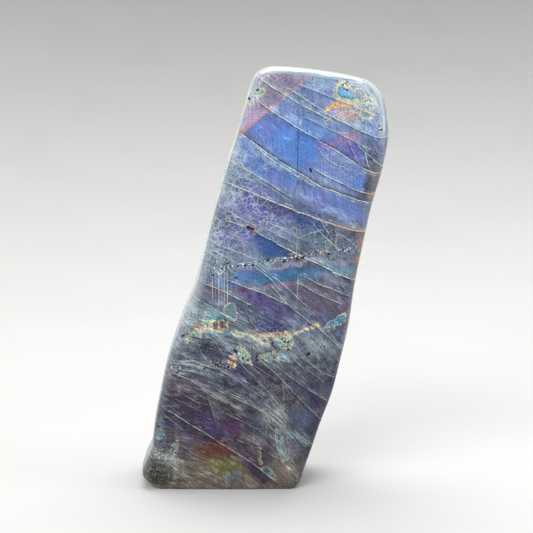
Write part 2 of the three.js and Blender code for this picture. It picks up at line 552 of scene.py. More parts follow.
CLEAVAGES = [
    (0.8, 0.35, [(258, 76), (272, 87.5), (289, 98), (308, 108), (327, 118)]),
    (0.75, 0.2, [(291, 90), (304, 99), (320, 108.5), (333, 117)]),
    (0.95, 0.5, [(334, 117), (350, 125.5), (366, 135), (387, 139)]),
    (0.6, 0.5, [(303, 86), (322, 93), (338, 100), (352, 105), (372, 114)]),
    (0.6, 0.3, [(308, 118.5), (325, 126.5), (340, 133.5), (352, 140), (366, 147)]),
    (0.85, 0.5, [(262, 104), (279, 115.5), (294, 125.5), (300, 129), (316, 138)]),
    (0.8, -0.2, [(320, 142), (336, 149), (354, 162), (362, 169), (381, 175)]),
    (0.4, 0.0, [(319, 149), (322, 155), (328, 160), (336, 165), (344, 167)]),
    (0.45, 0.0, [(350, 144), (352, 151), (356, 158)]),
    (0.5, 0.0, [(357, 143), (363, 151), (370, 157), (377, 161), (381, 168)]),
    (0.5, 0.0, [(365, 154), (367, 163), (371, 172)]),
    (1.0, -0.4, [(243, 135), (260, 149), (282, 162.5), (301, 174.5), (322, 187)]),
    (0.9, -0.3, [(320, 186), (332, 190), (343, 195), (352, 198.5), (366, 202)]),
    (0.75, 0.1, [(258, 149), (277, 162), (287, 170), (306, 181.5)]),
    (0.8, 0.25, [(318, 171), (340, 182), (356, 191), (374, 195)]),
    (0.6, 0.3, [(236, 164), (255, 175), (272, 185), (288, 195)]),
    (0.4, 0.2, [(258, 181), (268, 186), (277, 192), (286, 198)]),
    (0.95, 0.35, [(228, 183), (246, 189), (264, 199), (285, 206.5), (302, 213)]),
    (0.95, 0.5, [(300, 212), (322, 220.5), (342, 228), (366, 233)]),
    (0.5, 0.25, [(221, 207), (232, 213), (241, 217.5), (250, 223), (259, 228)]),
    (0.5, 0.2, [(228, 220), (236, 223), (245, 226.5)]),
    (0.4, 0.3, [(268, 222), (279, 227.5), (289, 233), (298, 237)]),
    (0.35, 0.3, [(262, 226), (274, 232), (286, 239), (296, 244)]),
    (1.0, 0.45, [(254, 230), (272, 240.5), (293, 251.5), (302, 256), (322, 265)]),
    (0.9, 0.4, [(320, 264), (332, 270), (342, 275.5), (353, 280)]),
    (0.4, 0.0, [(303, 236), (310, 232), (318, 231)]),
    (0.45, 0.0, [(313, 223), (318, 230), (325, 237), (332, 243), (339, 249)]),
    (0.35, 0.0, [(323, 223), (326, 230), (330, 236)]),
    (0.3, 0.0, [(336, 230), (336, 243)]),
    (0.4, 0.0, [(343, 236), (351, 241), (358, 248)]),
    (0.5, 0.3, [(213, 242), (222, 246), (231, 249.5), (241, 253), (252, 258)]),
    (0.5, 0.2, [(207, 249), (216, 251), (223, 254.5), (231, 260)]),
]
print("lines of the upper half:", len(CLEAVAGES))


# %% [markdown]
# In the lower half the lines are steeper, shorter and fainter. The last eight aren't cleavage. The
# upright plane of the twin shows higher up, as dark lines with a pale one below, and the rest are veins.

# %% Cleavage lines of the lower half
CLEAVAGES += [
    (0.75, 0.3, [(199, 281), (215, 286.5), (231, 294.5), (248, 303)]),
    (0.8, 0.3, [(230, 280.5), (246, 286.5), (264, 292.5), (283, 302)]),
    (0.55, 0.2, [(257, 268), (265, 273), (272, 280), (277, 286)]),
    (0.55, 0.2, [(262, 269), (280, 279), (290, 290.5), (305, 304)]),
    (0.75, 0.3, [(274, 288), (287, 305), (307, 318.5), (324, 332), (341, 349)]),
    (0.65, 0.3, [(304, 276), (314, 281), (325, 286), (335, 291), (347, 295)]),
    (0.5, 0.3, [(299, 283.5), (309, 288.5), (318, 294), (327, 298), (337, 302)]),
    (0.4, 0.0, [(333, 272), (338, 279), (344, 288)]),
    (0.45, 0.0, [(297.5, 280), (297.5, 297)]),
    (0.6, 0.3, [(195, 298), (205, 302.5), (213, 308.5), (222, 313), (233, 318.5)]),
    (0.6, 0.2, [(234, 321), (244, 326.5), (253, 331.5), (263, 335)]),
    (0.45, 0.0, [(236, 325), (246, 330.5), (256, 335)]),
    (0.4, 0.1, [(246, 310), (250, 319), (256, 328), (262, 334)]),
    (0.5, 0.3, [(250, 333), (254, 341), (259, 349), (266, 357), (276, 365)]),
    (0.5, 0.2, [(215, 337), (222, 342), (227, 348), (233, 354)]),
    (0.45, 0.25, [(290, 329), (300, 337), (309, 345), (317, 356)]),
    (0.6, 0.4, [(174, 349), (181, 354), (190, 359), (200, 363.5), (212, 367)]),
    (0.35, 0.0, [(198, 343), (200, 350), (205, 357)]),
    (0.35, 0.0, [(215, 341), (218, 348), (225, 357)]),
    (0.55, 0.25, [(212, 364), (224, 371), (236, 379), (250, 388), (262, 397)]),
    (1.0, 0.35, [(176, 373), (194, 381), (212, 393), (222, 399.5), (240, 408.5)]),
    (0.8, 0.1, [(206, 391), (216, 398), (226, 403), (238, 409)]),
    (0.9, 0.2, [(222, 391.5), (243, 401), (254, 407), (271, 416)]),
    (0.75, 0.0, [(228, 392), (240, 397.5), (252, 404), (264, 411)]),
    (0.6, 0.1, [(268, 413), (278, 422), (287, 429.5), (296, 436), (306, 443)]),
    (0.4, 0.1, [(168, 386), (182, 393), (196, 401)]),
    (0.4, 0.0, [(186, 388), (196, 393), (206, 398)]),
    (0.35, 0.0, [(165, 394), (180, 401), (196, 408)]),
    (0.4, 0.3, [(207, 392), (211, 402), (215, 418)]),
    (0.85, 0.0, [(168, 410), (181, 417.5), (204, 432), (226, 445.5), (252, 461.5), (276, 481)]),
    (0.4, -0.1, [(160, 412), (172, 420), (184, 430)]),
    (0.4, 0.0, [(184, 447), (190, 451), (198, 456)]),
    (0.4, 0.0, [(226, 413), (244, 421), (260, 430), (272, 438)]),
    (0.55, 0.15, [(240, 362), (262, 384), (270, 394), (285, 412)]),
    (0.65, 0.15, [(262, 361), (282, 378), (301, 400), (319, 418)]),
    (0.6, 0.2, [(272, 362), (296, 381), (307, 388.5), (325, 399)]),
    (0.5, 0.2, [(295, 350), (305, 359.5), (316, 368), (325, 374.5), (333, 376)]),
    (0.4, 0.2, [(296, 362), (309, 371.5), (322, 379.5)]),
    (0.5, 0.3, [(163, 458), (172, 466), (181, 474), (191, 485)]),
    (0.35, 0.1, [(197, 480), (206, 487)]),
    (-0.7, 0.0, [(299.5, 98), (299.5, 135), (298.5, 172)]),
    (-0.5, 0.0, [(299, 180), (296, 192)]),
    (-0.4, 0.0, [(296, 210), (296, 230)]),
    (0.4, 0.0, [(296.5, 232), (296.5, 250)]),
    (0.4, 0.1, [(298, 434), (308, 441), (313, 447)]),
    (0.3, 0.2, [(283, 385), (284, 405), (285, 425)]),
    (0.35, 0.0, [(240, 441), (252, 446), (262, 448), (274, 456)]),
    (0.5, 0.2, [(284, 462), (291, 470), (298, 478)]),
]
print("lines in all:", len(CLEAVAGES))


# %% [markdown]
# A mesh can't hold a hairline, but it can hold how far each of its points is from one. So every line is
# turned into a distance, with a sign that tells its two sides apart. The same distance gives the pale
# veil on one side of the line and the shade on the other.

# %% How far each surface point is from each line
FAMILIES = 3  # neighbouring lines take turns, so that each keeps its own distance field
LINE_REACH_MM = 2.2
END_FADE_MM = 3.5
VEIL_REACH_MM, SHADE_REACH_MM = 3.8, 2.2
VEIL_START_MM = 0.3
CALM_BELOW_MM = (70, 110)  # the lines are fainter in the lower half
LOW_STRENGTH, HIGH_STRENGTH = 0.9, 1.15


def along_line(u, v, pixels):
    """Signed distance in mm to the line (above it is positive), and 1 beside it, fading off its ends."""
    steady = np.array(pixels, float)
    steady[1:-1] = (steady[:-2] + 2 * steady[1:-1] + steady[2:]) / 4
    smooth = through(steady, np.linspace(0, 1, 8 * len(pixels)))
    line_x, line_z = on_face(*smooth.T)
    length = math.hypot(line_x[-1] - line_x[0], line_z[-1] - line_z[0])
    turn_x, turn_z = (line_x[-1] - line_x[0]) / length, (line_z[-1] - line_z[0]) / length

    def turned_to_line(px, pz):
        px, pz = px - line_x[0], pz - line_z[0]
        return px * turn_x + pz * turn_z, pz * turn_x - px * turn_z

    line_run, line_off = turned_to_line(line_x, line_z)
    run, off = turned_to_line(u, v)
    ends = ramp(-END_FADE_MM, 0, run) * (1 - ramp(length, length + END_FADE_MM, run))
    return off - np.interp(run, line_run, line_off), ends


line_distance = np.full((len(points), FAMILIES), LINE_REACH_MM * 1.5)
line_strength = np.zeros((len(points), FAMILIES))
veil, shade = np.zeros(len(points)), np.zeros(len(points))
calm = LOW_STRENGTH + (HIGH_STRENGTH - LOW_STRENGTH) * ramp(*CALM_BELOW_MM, face_v)
for number, mark in enumerate(Cleavage(*row) for row in CLEAVAGES):
    family = number % FAMILIES
    off, ends = along_line(wander_u, wander_v, mark.points)
    pale_side = 1 if mark.veil >= 0 else -1
    off = off * pale_side
    nearest = (np.abs(off) < np.abs(line_distance[:, family])) & (ends > 0)
    near = ends * (1 - ramp(0.6 * LINE_REACH_MM, LINE_REACH_MM, np.abs(off)))
    line_distance[nearest, family] = off[nearest]
    line_strength[nearest, family] = (mark.strength * near * calm)[nearest]
    pale = abs(mark.veil) * np.exp(-np.maximum(off, 0) / VEIL_REACH_MM) * ramp(-VEIL_START_MM, 0, off)
    dark = abs(mark.strength) * np.exp(-np.maximum(-off, 0) / SHADE_REACH_MM) * ramp(VEIL_START_MM, 0, off)
    veil = np.maximum(veil, pale * ends)
    shade = np.maximum(shade, dark * ends)
print("cleavage lines:", len(CLEAVAGES), "marked points:", int((line_strength.max(1) > 0.2).sum()))


# %% [markdown]
# Between the lines the stone is combed by far finer ones, too many to draw. They come from noise in the
# shader, stretched along the planes. The planes aren't flat: low on the stone they steepen to the
# right, and near the top they level out. So the noise gets its own bent coordinates, the flow.

# %% Flow coordinates along and across the planes
PLANE_SLOPE = 0.5
BEND_LOW, BEND_HIGH = 0.45, -0.2
BEND_FROM_MM, BEND_TO_MM, BEND_WIDTH_MM = 70, 130, 80
from_middle = face_u - middle_line
bend = BEND_LOW + (BEND_HIGH - BEND_LOW) * ramp(BEND_FROM_MM, BEND_TO_MM, face_v)
flow_across = face_v + PLANE_SLOPE * from_middle + bend * from_middle**2 / BEND_WIDTH_MM
flow = np.stack([from_middle, behind * DEPTH_MM, flow_across], axis=1)
print("flow runs across from", flow_across.min().round(), "to", flow_across.max().round(), "mm")


# %% [markdown]
# ## The flash
# Thin layers inside the stone send back one colour of light, and the colour changes from place to
# place with their thickness: blue and violet over most of this face, dusky purple below, and a patch
# of red-brown and olive near the foot. Each place is a soft ellipse with a colour from one palette.
# The ellipses are bent by noise, so that no edge looks drawn.

# %% Palette, in screen numbers
PALETTE = {
    "azure": (80, 124, 200),
    "sky": (92, 136, 194),
    "blue": (70, 110, 178),
    "deep blue": (44, 74, 132),
    "indigo": (44, 46, 96),
    "dusk indigo": (44, 38, 76),
    "violet blue": (100, 122, 184),
    "periwinkle": (88, 108, 170),
    "lilac": (132, 152, 186),
    "violet": (94, 88, 168),
    "mauve": (144, 140, 164),
    "plum": (116, 100, 134),
    "pale mauve": (168, 148, 182),
    "pink": (176, 112, 148),
    "red purple": (86, 50, 86),
    "purple": (72, 52, 116),
    "dusk purple": (46, 30, 58),
    "dusk mauve": (84, 74, 98),
    "teal": (48, 98, 142),
    "grey teal": (84, 116, 138),
    "slate blue": (78, 100, 132),
    "slate violet": (70, 78, 104),
    "slate": (52, 50, 72),
    "umber slate": (60, 46, 62),
    "pale grey": (122, 138, 138),
    "warm grey": (98, 88, 80),
    "red brown": (88, 40, 30),
    "salmon": (190, 124, 116),
    "apricot": (214, 140, 106),
    "olive": (90, 88, 52),
    "grey black": (46, 40, 33),
}
print("colours:", len(PALETTE))


# %% [markdown]
# The places are laid on in turn, so the first four are large and give each part its ground. Then come
# those of the upper half, which holds the brightest blue, between violet and the pale shoulder.

# %% Places of the flash, upper half
class Place(NamedTuple):
    colour: str
    middle: tuple  # pixels of the photograph
    half: tuple  # half its width and half its height, in the same pixels
    turn: float  # degrees that its width falls to the right
    amount: float
    softness: float = 0.42


FLASH = [
    ("slate blue", (225, 250), (46, 44), 0, 0.9),
    ("violet blue", (305, 130), (95, 62), 0, 0.9),
    ("slate violet", (250, 318), (110, 40), 0, 1.0),
    ("warm grey", (225, 484), (95, 32), 0, 0.95, 0.5),
    ("lilac", (314, 82), (22, 8), 12, 0.85),
    ("violet blue", (315, 94), (20, 7), 24, 0.9),
    ("lilac", (346, 112), (28, 9), 26, 0.7),
    ("mauve", (346, 107), (14, 6), 20, 0.8),
    ("pale mauve", (346, 112), (13, 6), 8, 0.6),
    ("salmon", (347, 116), (11, 3.4), 6, 0.5),
    ("violet blue", (290, 104), (11, 9), 28, 0.9),
    ("sky", (312, 123), (16, 6), 26, 0.8),
    ("azure", (296, 142), (32, 20), 16, 0.95),
    ("azure", (307, 146), (9, 22), 0, 0.9),
    ("sky", (284, 136), (14, 11), 20, 0.35),
    ("violet", (278, 124), (12, 6), 24, 0.3),
    ("violet blue", (262, 127), (14, 11), 30, 0.6),
    ("violet", (268, 133), (8, 6), 20, 0.4),
    ("violet", (326, 146), (14, 5), 28, 0.8, 0.3),
    ("pink", (350, 135), (13, 4), 10, 0.6),
    ("pink", (334, 142), (14, 3), -8, 0.45),
    ("violet", (352, 150), (10, 10), 10, 0.85),
    ("violet blue", (336, 158), (16, 8), 26, 0.6),
    ("violet blue", (336, 174), (32, 10), 26, 0.9),
    ("deep blue", (375, 160), (8, 15), 10, 0.7, 0.3),
    ("blue", (358, 182), (11, 8), 20, 0.85),
    ("slate violet", (370, 146), (9, 8), 10, 0.6),
    ("slate", (373, 168), (7, 14), 8, 0.7),
    ("slate", (371, 188), (7, 11), 8, 1.0),
    ("blue", (272, 168), (32, 11), 28, 0.95),
    ("violet", (276, 176), (12, 6), 28, 0.45),
    ("teal", (240, 172), (12, 8), 20, 0.5),
    ("teal", (240, 190), (10, 6), 20, 0.7),
    ("violet", (262, 204), (34, 13), 24, 0.85),
    ("violet", (252, 216), (46, 15), 22, 0.42),
    ("indigo", (280, 208), (22, 5), 24, 0.7),
    ("periwinkle", (332, 203), (40, 12), 24, 0.95),
    ("violet", (318, 200), (10, 8), 24, 0.6),
    ("deep blue", (312, 222), (21, 10), 22, 1.0, 0.25),
    ("slate blue", (288, 225), (14, 5), 24, 0.5),
    ("grey teal", (318, 240), (28, 8), 14, 0.5),
    ("slate violet", (333, 234), (12, 7), 26, 0.7),
    ("slate blue", (350, 246), (12, 8), 20, 0.7),
    ("deep blue", (270, 246), (19, 9), 32, 1.0, 0.3),
    ("lilac", (280, 231), (16, 6), 26, 0.25),
    ("violet", (235, 228), (4, 5), 0, 0.9, 0.3),
    ("violet", (221, 237), (5, 6), 0, 0.6, 0.3),
    ("violet", (247, 235), (7, 8), 0, 0.9, 0.3),
    ("violet", (231, 236), (4, 3), 0, 0.6, 0.3),
    ("slate blue", (222, 254), (20, 10), 16, 0.8),
    ("violet", (230, 243), (26, 13), 16, 0.3),
]
print("places so far:", len(FLASH))


# %% [markdown]
# Across the middle runs a band of teal with mauve over it and plum under it. Below the band the flash
# sinks into purple and indigo.

# %% Places of the flash, middle
FLASH += [
    ("deep blue", (249, 268), (14, 4), 0, 0.5),
    ("blue", (250, 278), (18, 5), 0, 0.7),
    ("plum", (250, 271.5), (13, 2), 14, 0.6),
    ("blue", (236, 284), (8, 2.5), 12, 0.8),
    ("blue", (221, 283), (4, 4), 0, 0.6),
    ("teal", (272, 276), (18, 6), -4, 1.0, 0.3),
    ("teal", (306, 274), (30, 6), -4, 0.95, 0.3),
    ("grey teal", (338, 268), (15, 7), 12, 0.9),
    ("mauve", (292, 265), (28, 2.6), -8, 0.7, 0.3),
    ("mauve", (331, 261), (22, 2.4), 0, 0.5, 0.3),
    ("plum", (285, 286), (26, 4), -6, 0.95, 0.3),
    ("red purple", (246, 289), (13, 3.6), 12, 1.0, 0.3),
    ("dusk mauve", (322, 297), (34, 15), 16, 1.0, 0.3),
    ("mauve", (333, 280), (16, 4), 22, 0.55),
    ("purple", (254, 296), (16, 5), 16, 1.0, 0.35),
    ("purple", (276, 308), (28, 9), 26, 0.55),
    ("dusk mauve", (214, 293), (15, 7), 20, 0.9),
    ("indigo", (272, 326), (17, 7), 20, 1.0, 0.3),
    ("indigo", (318, 318), (13, 4), 20, 1.0, 0.3),
]
print("places so far:", len(FLASH))


# %% [markdown]
# The lower half is dusky: streaks of dark purple and slate, a red-brown patch that turns olive, and a
# grey-black heel at the left, where the stone has no flash at all.

# %% Places of the flash, lower half
FLASH += [
    ("pale grey", (192, 314), (10, 18), 0, 0.7),
    ("dusk purple", (213, 346), (16, 7.5), 14, 0.7, 0.35),
    ("umber slate", (191, 350), (9, 6), 10, 0.45),
    ("pale grey", (322, 346), (20, 12), 30, 0.3),
    ("slate", (255, 345), (30, 10), 10, 0.6),
    ("dusk indigo", (243, 375), (15, 9), 42, 1.0, 0.3),
    ("dusk purple", (268, 379), (21, 9), 50, 1.0, 0.3),
    ("dusk purple", (232, 410), (10, 7), 30, 0.8, 0.3),
    ("dusk indigo", (290, 387), (14, 5), 50, 0.9, 0.3),
    ("dusk indigo", (307, 393), (15, 5), 36, 0.9, 0.3),
    ("dusk indigo", (318, 405), (6, 4), 36, 0.7, 0.3),
    ("slate blue", (303, 416), (14, 10), 30, 0.3),
    ("dusk indigo", (230, 366), (8, 4), 20, 0.6),
    ("slate", (316, 376), (18, 10), 30, 0.8),
    ("umber slate", (205, 398), (48, 14), 26, 1.0),
    ("umber slate", (290, 398), (20, 12), 30, 0.5),
    ("dusk mauve", (188, 384), (20, 7), 26, 0.7),
    ("dusk purple", (214, 418), (46, 15), 26, 1.0, 0.3),
    ("dusk purple", (200, 433), (40, 10), 26, 0.9, 0.35),
    ("purple", (213, 424), (20, 8), 32, 0.25),
    ("red purple", (238, 428), (14, 6), 28, 0.6),
    ("slate", (258, 428), (16, 10), 30, 0.7),
    ("umber slate", (250, 448), (26, 12), 26, 1.0),
    ("umber slate", (190, 446), (28, 13), 26, 1.0),
    ("dusk purple", (178, 424), (17, 5), 26, 0.9, 0.3),
    ("dusk mauve", (187, 440), (11, 7), 26, 0.8),
    ("warm grey", (200, 453), (14, 8), 20, 0.5),
    ("red brown", (221, 448.5), (13, 8), 30, 0.9, 0.5),
    ("red brown", (209, 455), (12, 9), 30, 0.9, 0.5),
    ("olive", (223, 467), (22, 10), 8, 0.95, 0.55),
    ("grey teal", (229, 478), (4, 6), 30, 0.45, 0.6),
    ("grey teal", (236, 475), (6, 4), 24, 0.4, 0.6),
    ("red purple", (248, 462), (10, 7), 30, 0.8),
    ("dusk purple", (260, 475), (14, 9), 30, 0.9, 0.35),
    ("dusk indigo", (172, 421), (14, 5), 30, 0.8, 0.35),
    ("warm grey", (194, 471), (16, 11), 20, 0.9),
    ("pale grey", (166, 457), (16, 4), 24, 0.7),
    ("grey black", (156, 474), (24, 12), 14, 1.0),
    ("dusk mauve", (292, 450), (9, 8), 30, 0.6),
    ("warm grey", (284, 473), (14, 9), 20, 0.8),
]
print("places in all:", len(FLASH))


# %% [markdown]
# The upper left corner is a second crystal, mauve and plum, that meets the first along a straight
# border with a patchy orange seam. It has places of its own, which stop at the border.

# %% The mauve corner
CORNER = [
    ("plum", (284, 81), (20, 8), 10, 0.9),
    ("plum", (275, 97), (13, 8), 0, 1.0),
    ("pale mauve", (252, 116), (14, 12), -40, 0.9),
    ("plum", (256, 106), (8, 6), -40, 0.5),
    ("pale mauve", (262, 74), (14, 5), -10, 0.8),
]
CORNER_BORDER = [(240, 135), (246, 129), (266, 112.5), (283, 97.5), (298, 87), (311, 75.5)]
CORNER_SOFT_MM = 0.4
BORDER_AMOUNT, BORDER_HALF_MM = 0.45, 1.3
print("places of the corner:", len(CORNER))


# %% Flash colour of every surface point
MM_PER_PX = 0.49
UNMARKED = ("slate", "slate violet")  # between the places: lower half, upper half
UNMARKED_FROM_MM, UNMARKED_TO_MM = 60, 130


def patch(u, v, middle, half, turn, softness):
    """1 inside a turned ellipse given in pixels of the photograph, fading to 0 over its soft edge."""
    middle_u, middle_v = on_face(*middle)
    angle = math.radians(turn)
    run = (u - middle_u) * math.cos(angle) - (v - middle_v) * math.sin(angle)
    rise = (u - middle_u) * math.sin(angle) + (v - middle_v) * math.cos(angle)
    reach = np.hypot(run / (half[0] * MM_PER_PX), rise / (half[1] * MM_PER_PX))
    return 1 - ramp(1 - softness, 1 + softness, reach)


def tinted(ground, colour, share):
    """The ground colours, turned towards a colour by each point's share."""
    return ground + (colour - ground) * np.reshape(share, (-1, 1))


def painted(ground, places, inside=1.0):
    """The ground colours with the places laid over them in turn."""
    for spot in (Place(*row) for row in places):
        share = inside * spot.amount * patch(bent_u, bent_v, spot.middle, spot.half, spot.turn, spot.softness)
        ground = tinted(ground, linear(*PALETTE[spot.colour]), share)
    return ground


lower, upper = (linear(*PALETTE[name]) for name in UNMARKED)
flash = painted(tinted(lower, upper, ramp(UNMARKED_FROM_MM, UNMARKED_TO_MM, face_v)), FLASH)
off_border, _ = along_line(wander_u, wander_v, CORNER_BORDER)
in_corner = ramp(-CORNER_SOFT_MM, CORNER_SOFT_MM, off_border)
flash = painted(tinted(flash, linear(*PALETTE["mauve"]), in_corner), CORNER, in_corner)
patchy = np.maximum(shifted(0.5, (1.5, 2.6, 12)), 0)
on_border = BORDER_AMOUNT * patchy * ramp(BORDER_HALF_MM, 0, np.abs(off_border))
flash = tinted(flash, linear(*PALETTE["apricot"]), on_border)
print("flash places:", len(FLASH) + len(CORNER), "mean colour:", flash.mean(0).round(3))


# %% [markdown]
# Two steps in tone sharpen the picture. Just under a crack the stone is in shade. And the crystal is
# twinned: right of an upright plane, a little right of the middle, the flash is a shade deeper.

# %% Shade under the cracks, and the twin plane
SHADE_DEPTH, TWIN_DEPTH, TWIN_REACH_MM = 0.5, 0.22, 7
TWIN_PLANE = [(296, 290), (296, 250), (297, 210), (299, 170), (301, 110), (301, 80)]
off_twin, beside_twin = along_line(face_u, face_v, TWIN_PLANE)
right_of_twin = np.maximum(-off_twin, 0)
twin = beside_twin * ramp(0.0, 0.5, right_of_twin) * np.exp(-right_of_twin / TWIN_REACH_MM)
flash = flash * ((1 - SHADE_DEPTH * shade) * (1 - TWIN_DEPTH * twin))[:, None]
print("mean colour with its shades:", flash.mean(0).round(3))


# %% [markdown]
# The back and the sides of such a stone are darker than its best face, because it was cut to show the
# flash on one side. The sides get bare grey feldspar with a part of the flash of the face beside them.
# The back gets bare feldspar with a few smaller places of flash of its own.

# %% Sides and back
BARE_STONE = (66, 70, 72)
SIDE_FLASH_SHARE = 0.35
SIDE_FROM, SIDE_TO, BACK_FROM, BACK_TO = 0.15, 0.38, 0.72, 0.95  # shares of the depth
BACK_FLASH = [
    ("deep blue", (330, 120), (34, 18), 26, 0.7),
    ("teal", (300, 150), (26, 12), 26, 0.65),
    ("violet", (318, 205), (26, 14), 30, 0.5),
    ("deep blue", (285, 250), (30, 14), 26, 0.7),
    ("grey teal", (262, 296), (22, 10), 20, 0.5),
    ("indigo", (246, 350), (34, 16), 28, 0.6),
    ("olive", (232, 408), (20, 9), 24, 0.5),
    ("red brown", (214, 428), (18, 7), 24, 0.4),
]
bare = np.tile(linear(*BARE_STONE), (len(points), 1))
off_face, back_share = ramp(SIDE_FROM, SIDE_TO, behind), ramp(BACK_FROM, BACK_TO, behind)
side_share = off_face * (1 - back_share)
flash = tinted(flash, tinted(bare, flash, SIDE_FLASH_SHARE), off_face)
flash = tinted(flash, painted(bare, BACK_FLASH), back_share)
print("share of points on the sides:", side_share.mean().round(2), "on the back:", back_share.mean().round(2))


# %% [markdown]
# ## Oil-slick patches
# Where a crack has let a thin film in, it shines like oil on water, in one fixed order of colours:
# violet, orange, cream, green, teal, blue. So a film needs no colours of its own. It has an outline,
# and two places in that order: one for its rim and one for its middle. Some films start at orange,
# others at cream or green. Films are laid over each other in turn, each small one after the large
# one that it lies on.

# %% Films
class Film(NamedTuple):
    rim: float  # where its rim is in the order of colours, from 0 to 1
    middle: float  # and its middle
    reach: float  # mm from the rim to the colour of the middle
    cover: float  # how much of the stone it hides
    outline: list  # pixels of the photograph


